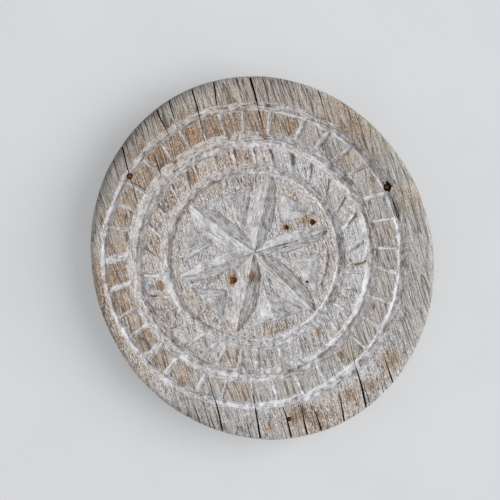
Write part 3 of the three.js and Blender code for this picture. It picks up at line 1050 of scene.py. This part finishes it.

# %% [markdown]
# Lime wash, or old flour, has stayed white in everything carved. It is dull with dust where it is thin,
# cream over brown wood, and scratched by the tool, and it clings to fibres, so its edge is ragged. The
# scratches are darker where the lime is thin, which includes walls turned from the window, so they carry
# painted shade as well, and a dark line along each petal keel is painted shade in the crease. Last come the
# dark ticks of the pores, and the dirt and painted shade that the points carry.

# %% Limed wood
LIME = shade(248, 249, 254)
LIME_SHADE = shade(184, 184, 186)
GROOVE_SHADE = shade(182, 175, 169)
CREAM = shade(236, 212, 188)
TOOL_MARK = shade(92, 80, 71)


def lime_coat(finish):
    scraped = finish.scraped
    dull = 0.1 + 0.2 * (finish.tooled - scraped) + 2.6 * finish.tooled * (finish.scrape - 0.475)
    spots = 0.85 * finish.between(finish.grit, 0.44, 0.6) + 0.85 * finish.between(finish.fleck, 0.4, 0.54)
    dull = dull + 0.8 * (finish.mottle - 0.5) + finish.coarse * (spots - 0.87) + 0.39
    dust = finish.mix(scraped, LIME_SHADE, GROOVE_SHADE)
    white = finish.mix((dull + 0.15 * scraped) * finish.between(finish.lime, 1.4, 0.9), LIME, dust)
    return finish.mix((0.38 - 0.2 * scraped) * finish.between(finish.brown, 0.8, 1.3), white, CREAM)


def lime_cover(finish):
    loose = 1.8 * (finish.fibre - 0.5) * (1.0 - finish.tooled) + 0.4 * (0.5 - finish.fleck)
    loose = loose + 0.6 * (finish.grit - 0.5) + 1.4 * (0.5 - finish.scrape) * finish.scraped
    return finish.between(finish.lime + loose, 0.43, 0.58)


def wood_height(finish):
    weathered = 0.4 * finish.streak - 0.3 * finish.splits - 0.3 * finish.dashes
    cut = 0.35 * finish.scrape * finish.scraped - 0.2 * finish.marks * finish.tooled
    height = weathered * (1.0 - 0.7 * finish.tooled) + cut
    return height + (0.4 * finish.grit - 0.35 * finish.fleck) * finish.coarse


def limed_wood():
    finish = WeatheredWood("limed_wood")
    cover = lime_cover(finish)
    colour = finish.mix(0.95 * cover, bare_wood(finish), lime_coat(finish))
    # Tool marks are darker where the lime is thin, which includes walls turned from the window: painted
    # shade as well as marks. The keel of each petal is darkened too, a painted shade in the crease.
    mark_wear_and_shade = 0.4 + 0.25 * finish.scraped + 0.3 * finish.between(finish.lime, 0.95, 0.65)
    gritty = finish.between(finish.grit, 0.35, 0.5)
    scratches_and_keel_shade = (mark_wear_and_shade * finish.marks + 0.4 * finish.keel) * finish.tooled * gritty
    colour = finish.mix(scratches_and_keel_shade, colour, TOOL_MARK)
    ticks = (0.35 + 0.35 * finish.between(finish.lime, 0.3, 0.5)) * finish.dashes * (1.0 - finish.tooled)
    colour = finish.mix(ticks, colour, DARK_GRAIN)
    # The dark share holds dirt and painted shade.
    colour = finish.mix(0.7 * finish.dark, colour, DARK_GRAIN)
    bump = finish.bump(wood_height(finish))
    return finish.wear(Base_Color=colour, Roughness=0.86 + 0.1 * cover, Normal=bump)


limed = limed_wood()
print("finish:", limed.name)

# %% [markdown]
# Wood that never saw the weather has other colours: orange brown where worms bored and dark brown in the
# drilled holes. Inside a check it is nearly black, a painted shade over the wood in the narrow slit. One
# function makes all three, each from two colours.

# %% Painted shade inside the checks, and bored wood
def deep_wood(name, first, second):
    finish = Finish(name)
    fibre = finish.noise(finish.grain_place(), (1.0, 8, 2))
    colour = finish.mix(finish.between(fibre, 0.35, 0.65), first, second)
    return finish.wear(Base_Color=colour, Roughness=0.95, Normal=finish.bump(0.4 * fibre))


# Nearly black inside a check: painted shade.
check_shade_wood = deep_wood("check_shade_wood", shade(48, 42, 37), shade(78, 68, 60))
bored_wood = deep_wood("bored_wood", shade(110, 62, 34), shade(176, 112, 66))
drilled_wood = deep_wood("drilled_wood", shade(42, 33, 27), shade(84, 64, 49))
print("finishes inside the wood ready")

# %% [markdown]
# The cutters are now taken out of the board. The Manifold solver is quick on a mesh this size and keeps it
# closed, and each cut surface takes the finish of its cutter, so a check is painted dark, as shade, all the
# way down.

# %% Cut the checks and holes
board.data.materials.append(limed)


def cut_out(piece, cutter):
    step = piece.modifiers.new("cut", "BOOLEAN")
    step.operation = "DIFFERENCE"
    step.solver = "MANIFOLD"
    step.material_mode = "TRANSFER"
    step.object = cutter
    bpy.context.view_layer.objects.active = piece
    bpy.ops.object.modifier_apply(modifier=step.name)
    bpy.data.objects.remove(cutter)


cut_out(board, checks.piece(check_shade_wood))
cut_out(board, pits.piece(bored_wood))
cut_out(board, drillings.piece(drilled_wood))
print(len(board.data.polygons), "faces after cutting,", [m.name for m in board.data.materials])

# %% [markdown]
# How tan, limed, dark and tooled the wood is goes onto the points as attributes, which the finish reads.
# For that, each point has to know where it lies: on the border or a block, in a cut, on the wall of a
# groove, in a petal or a pocket. Painting an image would do it too, but the carving already knows, and
# masks follow it when it changes. Traces of use are gathered as well: stains and lips rubbed brown. So are
# the bare side of the inner cuts and the rims of the petals, darkened partly as dirt and partly as painted
# shade. Slow changes round a ring are sums of soft humps, each with a direction, a width and an amount,
# because a stain on real wood has no sharp edge.

# %% Where each point lies
CUTS_START = 70.0
INNER_GROOVE_REACH = 72.0
INNER_CUTS_REACH = 89.0
OUTER_GROOVE_START = 109.0
CUT_DEEP = 0.3
GROOVE_DEEP = 0.5
GROUND_EDGE_RUN = (50, 58)
BARE_SIDE_RUN = (74, 80)
BARE_SIDE_OFF = 0.3
STAINS = [
    (59.3, 84.6, 3.5), (35.9, 85.1, 3.0), (100.2, 24.0, 2.5), (27.5, -91.2, 2.6), (18.2, -67.9, 1.8),
    (32.9, -73.8, 2.2), (-90.5, -64.0, 3.5), (-63.9, -78.8, 2.5), (-79.7, 9.3, 3.0), (-118.6, 28.2, 2.5),
    (-113.2, 27.7, 3.0), (-116.5, 9.4, 3.0), (-25.2, 76.3, 2.5), (10.2, 96.3, 3.0), (-35.1, 93.4, 3.5),
    (24.9, 128.7, 2.0), (-53.0, 107.9, 3.0), (-92.8, 84.0, 3.0), (92.5, 69.6, 2.5), (129.5, 12.1, 4.5),
    (118.4, 4.4, 6.0), (124.3, -4.6, 6.0), (-24.0, -121.2, 5.0), (59.0, -109.0, 5.0), (-6.0, -134.0, 3.0),
    (-43.0, -121.0, 4.0), (-15.9, -120.5, 5.0), (-8.2, -127.8, 4.0), (39.7, -119.6, 5.0),
    (64.3, -106.1, 5.0), (22.3, -121.0, 5.0), (41.5, 14.6, 3.2), (26.0, 14.5, 2.6), (-26.6, -7.3, 4.2),
    (-13.1, -10.0, 3.2),
]


def ramp(value, start, end):
    return np.clip((value - start) / (end - start), 0, 1)


class Places:
    """What was carved at each point of the face and how it wore, as masks and shares."""

    def __init__(self, x, y):
        self.x = x
        self.y = y
        self.relief = carved_face(x, y)
        self.uneven = self.relief.uneven
        self.degrees = self.relief.degrees
        self.radius = self.relief.radius
        self.depth = self.relief.depth
        self.off, _, self.mark = self.relief.stroke.T
        self.find_rings()
        self.find_rosette()
        self.find_wear()

    def inside(self, name):
        return self.radius < self.relief.lips[name]

    def marked(self, first, after):
        return (self.mark >= first) & (self.mark < after)

    def number(self, where, first, step):
        return np.where(where, (self.mark - first) / step, 0).astype(int)

    def patches(self, spots):
        total = np.zeros_like(self.x)
        for spot_x, spot_y, radius, strength in spots:
            total += strength * np.exp(-((self.x - spot_x) ** 2 + (self.y - spot_y) ** 2) / radius ** 2)
        return total

    def facing(self, towards, width):
        return np.exp(-((wrapped(self.degrees - towards) / width) ** 2))

    def humps(self, terms):
        return sum(amount * self.facing(towards, width) for towards, width, amount in terms)

    def blocks(self, base, terms, own, cuts):
        return base + self.humps(terms) + own[block_number(cuts, self.degrees)]

    def find_rings(self):
        self.border = self.radius > self.relief.lips["border_lip"]
        floors = [self.radius > self.relief.lips[name] for name in ("middle_floor", "inner_floor")]
        self.zones = [self.border, *floors]
        in_cut = self.marked(CUT_MARK, PETAL_MARK) & (self.radius > CUTS_START)
        self.in_cut = in_cut & (self.depth > CUT_DEEP)
        self.in_groove = (self.depth > GROOVE_DEEP) & ~self.in_cut & (self.radius > ROSETTE_REACH)
        self.among_blocks = (self.radius >= INNER_GROOVE_REACH) & (self.radius <= OUTER_GROOVE_START)
        self.inner_groove = self.in_groove & (self.radius < INNER_GROOVE_REACH)
        self.middle_groove = self.in_groove & self.among_blocks
        self.outer_groove = self.in_groove & (self.radius > OUTER_GROOVE_START)

    def find_rosette(self):
        self.rosette = self.radius < self.relief.lips["rosette_edge"] - SHOULDER
        self.in_petal = self.marked(PETAL_MARK, POCKET_MARK) & self.rosette
        self.in_pocket = self.marked(POCKET_MARK, NICK_MARK) & self.rosette
        # The shallow rim round every hollow of the rosette; it is darkened later, partly as dirt and partly
        # as painted shade.
        self.rim = self.rosette * ramp(self.depth, 0, 0.06) * ramp(self.depth, 0.7, 0.2)
        self.rim = self.rim * np.clip(0.6 + 1.1 * self.uneven(4, 83), 0, 1)
        patchy = np.clip(0.2 + 1.7 * self.uneven(7, 88), 0, 1)
        self.ground_edge = self.rosette * (self.depth < 0.1) * ramp(self.radius, *GROUND_EDGE_RUN) * patchy

    def find_wear(self):
        self.blotch = 0.6 * self.uneven(11, 81) + 0.4 * self.uneven(5, 82)
        self.stains = self.patches([(*spot, 1.0) for spot in STAINS])
        self.lip_rub = ramp(self.depth, 0, 0.25) * ramp(self.depth, 1.0, 0.5)
        self.above = self.facing(105, 40)
        self.below = self.facing(262, 50)
        self.edge = np.hypot(self.x / HALF_WIDTH, self.y / HALF_LENGTH)
        # One side of each inner cut is left bare and darker, less so at the lower side: partly bare brown
        # wood, partly painted shade.
        bare_and_shaded_side = self.in_cut & (self.radius < INNER_CUTS_REACH) & (self.off < CUT_MIDDLE - BARE_SIDE_OFF)
        self.bare_and_shaded_side = bare_and_shaded_side * ramp(self.radius, *BARE_SIDE_RUN) * (1 - 0.7 * self.below)


print(len(STAINS), "stains")

# %% [markdown]
# Hands and smoke have browned the board unevenly. The blocks at the top are the brownest, and each has its
# own tint. The border is grey with tan patches.

# %% Tan wood
TAN_PATCHES = [
    (95, 70, 30, 0.7), (-118, 15, 36, 1.1), (-112, -45, 34, 0.95), (-40, 108, 45, 0.35), (-8, -127, 30, 0.9),
    (42, -116, 30, 0.7), (112, 5, 20, 0.35), (45, 118, 35, 0.35),
]
BORDER_TAN = 0.15
OUTER_TAN = 0.25
INNER_TAN = 0.45
ROSETTE_TAN = 0.6
OUTER_TAN_HUMPS = [(92, 36, 1.3), (178, 40, 0.75), (300, 35, 0.12)]
INNER_TAN_HUMPS = [(100, 30, 1.15), (165, 30, 0.4)]
OUTER_TINTS = rng.uniform(-0.3, 0.3, len(OUTER_CUTS) + 1)
INNER_TINTS = rng.uniform(-0.25, 0.25, len(INNER_CUTS) + 1)


def tan_share(places):
    outer = places.blocks(OUTER_TAN, OUTER_TAN_HUMPS, OUTER_TINTS, OUTER_CUTS)
    inner = places.blocks(INNER_TAN, INNER_TAN_HUMPS, INNER_TINTS, INNER_CUTS)
    tan = np.select(places.zones, [BORDER_TAN, outer, inner], ROSETTE_TAN)
    tan = tan + places.border * places.patches(TAN_PATCHES)
    tan = tan + 0.3 * places.lip_rub + 0.2 * places.blotch + 0.5 * places.ground_edge
    tan = tan + np.where(places.border, 0.35, 1.25) * np.clip(places.stains, 0, 1)
    tan = tan + 0.9 * places.outer_groove * places.facing(90, 28)
    return tan + 0.2 * places.border * places.above * ramp(places.edge, 0.95, 0.9)


print(len(TAN_PATCHES), "tan patches and", len(OUTER_TINTS) + len(INNER_TINTS), "tints for blocks")

# %% [markdown]
# Carved hollows hold the white lime, the rosette and the inner blocks kept some on top, and the border was
# rubbed bare. Walls that turn from the window get less lime, a painted shade, and walls that face it a
# little more, a painted light. Each cut, petal and pocket wall has its own share, and the inner wall of a
# groove is painted paler, a painted light that lifts its shade. The lower side of the board and the side
# away from the window are lighter, partly fresh lime and partly painted light, and crumbs of fresh lime lie
# where nothing has rubbed since.

# %% Lime left in the carving, with painted light and shade
FRESH_LIME = [
    (-10.5, -36.0, 6, 0.5), (-6.5, -46.0, 5, 0.5), (74.0, 0.0, 8, 0.9), (70.0, -22.0, 7, 0.8),
    (28.0, -106.0, 16, 0.7), (0.0, -108.0, 16, 0.6), (66.0, -82.0, 7, 0.8), (-106.0, 40.0, 14, 0.5),
    (-112.0, -10.0, 16, 0.6), (-95.0, -55.0, 18, 0.5), (-88.0, 20.0, 12, 0.5),
]
PETAL_LIME = np.array([(-0.05, 0.15), (0.2, 0.1), (0.15, 0.18), (0.0, 0.0), (0.0, 0.12), (0.2, 0.05)])
POCKET_LIME = np.array([
    (-0.1, 0.15, 0.0), (0.12, 0.3, 0.08), (0.15, 0.05, 0.6),
    (0.12, 0.4, 0.0), (0.18, 0.1, 0.0), (0.2, 0.35, 0.05),
])
BORDER_BARE = 0.06
OUTER_BARE = 0.1
INNER_BARE = 0.45
ROSETTE_BARE = 0.53
BORDER_HUMPS = [(270, 60, 0.4), (155, 30, 0.12), (206, 16, 0.36), (180, 16, 0.22), (298, 16, 0.12)]
OUTER_HUMPS = [(255, 30, 0.15)]
INNER_HUMPS = [(45, 24, 0.2), (322, 25, 0.16)]
INNER_GROOVE_HUMPS = [(40, 36, 0.25), (174, 20, 0.22), (282, 22, 0.4), (228, 16, 0.18)]
MIDDLE_GROOVE_HUMPS = [
    (45, 32, 0.2), (305, 40, 0.2), (247, 12, 0.2), (180, 20, -0.2), (274, 10, -0.2), (115, 22, 0.12),
]
OUTER_GROOVE_HUMPS = [(250, 14, 0.3), (88, 22, -0.24), (130, 18, 0.25), (10, 12, 0.15)]
OUTER_LIME = rng.uniform(-0.12, 0.14, len(OUTER_CUTS) + 1)
INNER_LIME = rng.uniform(-0.1, 0.1, len(INNER_CUTS) + 1)
CUT_LIME = rng.uniform(0.0, 0.9, len(OUTER_CUTS) + 1)


def fresh_lime_and_painted_light(places):
    cut = places.number(places.in_cut, CUT_MARK, CUT_MARK_STEP)
    fresh = places.patches(FRESH_LIME) * (0.35 + 0.65 * ramp(places.depth, 0, 0.4))
    # Cuts are lighter towards the lower side, grooves most at the lower side, and the outer groove
    # everywhere but round 45 degrees: partly fresh lime, partly painted light.
    fresh = fresh + places.in_cut * (CUT_LIME[cut] + 0.7 * places.below)
    fresh = fresh + 0.5 * places.in_groove * places.facing(275, 45)
    fresh = fresh + 0.35 * places.outer_groove * (1 - places.facing(45, 50))
    crumbs = places.uneven(6, 84) + 1.2 * places.uneven(2.2, 85)
    return fresh * np.clip(0.8 + crumbs, 0, 1.6)


def rosette_lime(places):
    petal = places.number(places.in_petal, PETAL_MARK, PETAL_MARK_STEP)
    walls = places.number(places.in_pocket, POCKET_MARK, WALL_MARK_STEP)
    pocket, wall = np.divmod(walls, POCKET_MARK_STEP // WALL_MARK_STEP)
    on_petal = PETAL_LIME[petal, (places.off < 0).astype(int)]
    return places.in_petal * on_petal + places.in_pocket * POCKET_LIME[pocket, np.minimum(wall, 2)]


def groove_lime_and_painted_fill(places):
    inner_wall = places.inner_groove & places.inside("inner_floor")
    outer_wall = places.outer_groove & places.inside("outer_floor")
    middle_wall = places.middle_groove & places.inside("middle_floor")
    # The inner walls of the grooves, and in the middle groove the walls on the side away from the window,
    # are painted paler: a painted light that lifts their shade. In the outer groove it grows on the side
    # away from the window and shrinks on the side towards it.
    fill_by_side = 1 + places.outer_groove * (places.facing(115, 50) - 0.35 * places.facing(-40, 45))
    pale = ((inner_wall | outer_wall) + 0.9 * middle_wall * places.facing(135, 80)) * fill_by_side
    # Humps round each groove lighten or darken it by listed amounts; those at the lower side are partly
    # painted light.
    lime = 0.35 * pale + places.inner_groove * places.humps(INNER_GROOVE_HUMPS)
    lime = lime + places.middle_groove * places.humps(MIDDLE_GROOVE_HUMPS)
    lime = lime + places.outer_groove * places.humps(OUTER_GROOVE_HUMPS)
    gaps = 0.3 - 1.2 * places.uneven(3, 86) - 0.5 * places.uneven(9, 87)
    return lime - np.clip(gaps, 0, 1) * places.in_groove * np.where(places.outer_groove, 0.18, 0.06)


def painted_light_and_shade_lime(places, towards_window):
    # Lime follows how each wall faces the window: less on walls turned away, a painted shade, and a little
    # more on walls turned towards it, a painted light. Among the blocks the walls on the window side may
    # lose more, and the inner groove gets a painted shadow on its window side.
    outside = -0.2 - 0.16 * places.among_blocks * places.facing(0, 45)
    least = np.where(places.in_pocket, -0.22, np.where(places.rosette, -0.42, outside))
    least = least - 0.45 * places.inner_groove * places.facing(-40, 21)
    return np.clip(0.8 * towards_window, least, 0.1) * ramp(places.depth, 0, 0.5)


def lime_and_painted_light_share(places, towards_window):
    # The border is lighter at the lower side and the side away from the window: partly lime, partly painted
    # light.
    border = BORDER_BARE + places.humps(BORDER_HUMPS)
    outer = places.blocks(OUTER_BARE, OUTER_HUMPS, OUTER_LIME, OUTER_CUTS)
    inner = places.blocks(INNER_BARE, INNER_HUMPS, INNER_LIME, INNER_CUTS)
    bare = np.select(places.zones, [border, outer, inner], ROSETTE_BARE) - 0.05 * places.ground_edge
    held = np.where(places.radius < ROSETTE_REACH - 1, 0.82, 0.84) + 0.25 * places.blotch
    lime = np.maximum(bare, held * ramp(places.depth, 0, 0.4)) + 0.5 * fresh_lime_and_painted_light(places)
    lime = lime + rosette_lime(places) + groove_lime_and_painted_fill(places) + painted_light_and_shade_lime(places, towards_window)
    lime = lime - np.where(places.border, 0.3, 0.7) * places.stains
    return lime - 0.2 * places.rim - 0.7 * places.bare_and_shaded_side


print(len(FRESH_LIME), "spots of fresh lime")

# %% [markdown]
# Painted shade darkens the bottoms of the grooves. The rims of the petals and the bare side of the inner
# cuts darken partly as dirt and partly as painted shade, dirt darkens the torn places, and the outer edge is
# darker, most round one end. When all shares are stored, the board rides on the root body and takes the
# place of its solid.

# %% Dark places, and all shares stored
DARK_PATCHES = [
    (-70, 122, 22, 0.5), (-25, 142, 26, 0.3), (60, 124, 22, 0.25), (-95, -95, 20, 0.25), (104, 32, 9, 0.5),
    (-98, 95, 24, 0.34), (106, 7, 4, 0.6), (108, -4, 5, 0.6), (57, -17, 9, 0.5), (58, 3, 7, 0.35),
    (95, 52, 22, 0.25),
]
TOP_ZONE = 6.0
SIDE_LIME = 0.02
SIDE_DARK = 0.2
MOST_LIME = 1.6


def dirt_and_shade_share(places):
    dark = places.patches(DARK_PATCHES) * (places.border | (places.depth > GROOVE_DEEP))
    dark = dark + 0.3 * places.lip_rub * np.clip(0.2 + places.blotch, 0, 1)
    # Petal rims and the bare side of the inner cuts: partly dirt, partly painted shade.
    dark = dark + 0.3 * places.bare_and_shaded_side + 0.6 * places.rim
    dark = dark + places.border * ramp(places.edge, 0.93, 0.98) * (0.1 + 0.25 * places.above)
    # A dark line along each groove floor: painted shade in the bottom of the groove.
    for floor in ("inner_floor", "middle_floor", "outer_floor"):
        floor_shade = np.exp(-(((places.radius - places.relief.lips[floor]) / 0.8) ** 2))
        dark = dark + 0.45 * floor_shade * np.clip(0.5 + 1.2 * places.blotch, 0, 1) * (places.depth > 1.5)
    return dark


def tints(x, y, z, towards_window):
    places = Places(x, y)
    top = z > FACE - TOP_ZONE
    # The lime share also carries painted light and shade; the dark share carries dirt and painted shade.
    lime = np.where(top, lime_and_painted_light_share(places, towards_window), SIDE_LIME)
    dark = dirt_and_shade_share(places) + np.where(top, 0, SIDE_DARK)
    tooled = np.where(top, ramp(places.depth, 0, 0.8), 0)
    return {
        "tan": tan_share(places), "lime": np.clip(lime, 0, MOST_LIME), "dark": np.clip(dark, 0, 1),
        "tooled": tooled, "scraped": tooled * np.where(places.rosette, 0.4, 1.0),
        "stroke": places.relief.stroke,
    }


def store(piece):
    spots = np.zeros(len(piece.data.vertices) * 3)
    piece.data.vertices.foreach_get("co", spots)
    x, y, z = spots.reshape(-1, 3).T / MM
    normals = np.zeros_like(spots)
    piece.data.vertices.foreach_get("normal", normals)
    towards_window = normals.reshape(-1, 3) @ (math.cos(around), math.sin(around), 0.0)
    for name, values in tints(x, y, z, towards_window).items():
        kind, key = ("FLOAT_VECTOR", "vector") if values.ndim == 2 else ("FLOAT", "value")
        layer = piece.data.attributes.new(name, kind, "POINT")
        layer.data.foreach_set(key, values.astype(np.float32).ravel())


def soften(piece, degrees):
    piece.data.polygons.foreach_set("use_smooth", [True] * len(piece.data.polygons))
    piece.data.set_sharp_from_angle(angle=math.radians(degrees))


store(board)
soften(board, 32)
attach(board, "root")
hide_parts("board")
print("board finished")

# %% [markdown]
# Each foot is a short turned stub with a drawn-in waist and a tenon that goes up into the board. The
# photograph hides them, so they are kept plain: a lathe leaves fine rings, and standing on a hearth has
# rounded the sole.

# %% Turned feet
FOOT_COLUMNS = 96
FOOT_PROFILE = [
    (0.0, 0.0), (8.6, 0.0), (10.0, 0.5), (10.7, 1.3), (11.0, 2.3), (10.85, 4.0), (10.6, 6.5), (10.5, 9.0),
    (10.7, 11.5), (11.1, 14.0), (11.6, 16.2), (12.0, 17.3), (11.8, 17.7), (7.5, 17.7), (7.5, 25.4),
    (7.0, 26.0), (0.0, 26.0),
]
FOOT_RING_PITCH = 1.1
FOOT_RING_DEPTH = 0.12
FOOT_STEP = 0.5
FOOT_DENT = 0.22
FOOT_SEED = 80
TENON_CLEAR = 7.6
TURNED_LOW = 0.4
TURNED_HIGH = 17.5
SHAFT_LOW = 4.7
SHAFT_HIGH = 27.0
SHAFT_COLUMNS = 24


def fine_profile(profile, step):
    fine = [profile[0]]
    for (r0, z0), (r1, z1) in zip(profile, profile[1:]):
        count = max(1, round(math.hypot(r1 - r0, z1 - z0) / step))
        fine += [(r0 + (r1 - r0) * k / count, z0 + (z1 - z0) * k / count) for k in range(1, count + 1)]
    return fine


def turned_foot(side, seed):
    skin = Skin()
    degrees = -360 * np.arange(FOOT_COLUMNS) / FOOT_COLUMNS
    angle = np.radians(degrees)
    place = FOOT_PLACES[side]
    for radius, z in fine_profile(FOOT_PROFILE, FOOT_STEP)[1:-1]:
        outside = radius > TENON_CLEAR and TURNED_LOW < z < TURNED_HIGH
        rings = FOOT_RING_DEPTH * (math.cos(2 * math.pi * z / FOOT_RING_PITCH) - 1) * outside
        knocks = np.abs(wander(angle * 4, z / 3.5, seed) * ring_wander(degrees, 7, seed + 1))
        away = radius + rings - FOOT_DENT * outside * knocks
        flat = place + away[:, None] * heading(angle)
        skin.add(at_height(flat, z))
    skin.close()
    return new_piece(f"turned_{side}_foot", skin.mesh(f"turned_{side}_foot"))


def foot_wood():
    finish = Finish("foot_wood")
    place = finish.place()
    fibre = finish.noise(place, (0.9, 0.9, 9), 4)
    blotch = finish.noise(place, (6, 6, 6))
    colour = finish.mix(finish.between(blotch, 0.35, 0.65), shade(142, 124, 104), shade(120, 101, 82))
    colour = finish.mix(0.7 * finish.between(fibre, 0.52, 0.68), colour, shade(74, 60, 48))
    colour = finish.mix(0.4 * finish.between(fibre, 0.46, 0.32), colour, shade(178, 164, 146))
    return finish.wear(Base_Color=colour, Roughness=0.8 + 0.12 * fibre, Normal=finish.bump(0.4 * fibre))


foot_finish = foot_wood()
for number, side in enumerate(SIDES):
    foot = turned_foot(side, FOOT_SEED + number)
    foot.data.materials.append(foot_finish)
    shaft = Blades(f"{side}_shaft")
    shaft.peg(FOOT_PLACES[side], (SHANK_HOLE, SHANK_HOLE), (SHAFT_LOW, SHAFT_HIGH), SHAFT_COLUMNS, 1, 0.0)
    cut_out(foot, shaft.piece(drilled_wood))
    soften(foot, 40)
    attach(foot, "root")
    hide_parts(f"{side}_foot")
    print(foot.name, len(foot.data.polygons), "faces")

# %% [markdown]
# Three hand-forged nails go down through the face into the feet. A smith draws the shank to a blunt point
# and spreads the head with a few blows, so the heads are uneven, and one of them has rusted to a stub in
# its hole.

# %% Forged nails
NAIL_COLUMNS = 32
NAIL_TIP = 5.0
NAIL_STEP = 0.45
NAIL_SEED = 90
SEAT_GAP = 0.3
LEAST_RADIUS = 0.05
HEADS = {
    "left": (FACE - 0.6, 1.9, 0.3),
    "right": (FACE - 2.4, 1.5, 0.9),
    "front": (FACE - 0.7, 1.35, 0.5),
}


def forged_nail(side, seed):
    top, head, rough = HEADS[side]
    seat = FACE - NAIL_HOLE_DEPTH + SEAT_GAP
    tall = top - seat
    profile = [
        (0.25, NAIL_TIP), (0.9, NAIL_TIP + 5), (1.45, NAIL_TIP + 10), (1.5, seat - 2), (1.5, seat),
        (head * 0.9, seat + 0.05), (head, seat + 0.35 * tall), (head * 0.92, seat + 0.7 * tall),
        (head * 0.62, top - 0.12), (head * 0.3, top), (0.08 * head, top),
    ]
    angle = turns(NAIL_COLUMNS)
    skin = Skin()
    for radius, z in fine_profile(profile, NAIL_STEP)[::-1]:
        blows = rough * wander(1.6 * np.cos(angle) + 4 + radius, 1.6 * np.sin(angle) + 4, seed)
        rise = np.clip((z - seat) / tall, 0, 1)
        squared = 0.1 * np.abs(np.sin(2 * angle)) - 0.1
        shape = np.where(z > seat, 0.1 * blows - 0.1 * rough, squared)
        away = np.maximum(radius * (1 + shape), LEAST_RADIUS)
        flat = FOOT_PLACES[side] + away[:, None] * heading(angle)
        skin.add(at_height(flat, z + 0.7 * rise * np.minimum(blows, 0)))
    skin.close()
    return new_piece(f"forged_{side}_nail", skin.mesh(f"forged_{side}_nail"))


def rusty_iron():
    finish = Finish("rusty_iron")
    place = finish.place()
    scale = finish.noise(place, (1.1, 1.1, 1.1), 4)
    crust = finish.noise(place, (0.4, 0.4, 0.4))
    colour = finish.mix(finish.between(scale, 0.38, 0.62), shade(58, 38, 28), shade(118, 70, 40))
    colour = finish.mix(0.7 * finish.between(crust, 0.55, 0.7), colour, shade(168, 112, 70))
    metal = 0.5 * finish.between(scale, 0.5, 0.36)
    height = 0.3 * scale + 0.2 * crust
    return finish.wear(
        Base_Color=colour, Metallic=metal, Roughness=0.6 + 0.35 * crust, Normal=finish.bump(height)
    )


iron = rusty_iron()
for number, side in enumerate(SIDES):
    nail = forged_nail(side, NAIL_SEED + number)
    nail.data.materials.append(iron)
    soften(nail, 50)
    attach(nail, "root")
    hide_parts(f"{side}_nail")
    print(nail.name, len(nail.data.polygons), "faces")

# %% [markdown]
# The floor is a plain pale plaster, wide enough for every view, so that nothing draws the eye from the
# carving. Pale surroundings send light back from every side and soften a shadow. A faint glow stands in for
# that.

# %% Floor
FLOOR_HALF = 4.0
FLOOR_GLOW = 0.26


def plaster():
    finish = Finish("pale_plaster")
    place = finish.place()
    cloud = finish.noise(place, (110, 110, 110))
    grain = finish.noise(place, (4, 4, 4))
    colour = finish.mix(finish.between(cloud, 0.3, 0.7), shade(190, 191, 193), shade(184, 186, 189))
    finish.wear(Emission_Color=shade(252, 254, 255), Emission_Strength=FLOOR_GLOW)
    return finish.wear(Base_Color=colour, Roughness=0.9, Normal=finish.bump(0.1 * grain))


corners = [(x * FLOOR_HALF, y * FLOOR_HALF, 0) for x, y in ((-1, -1), (1, -1), (1, 1), (-1, 1))]
floor_mesh = bpy.data.meshes.new("floor")
floor_mesh.from_pydata(corners, [], [(0, 1, 2, 3)])
floor_mesh.materials.append(plaster())
floor = new_piece("floor", floor_mesh)
print("floor laid")
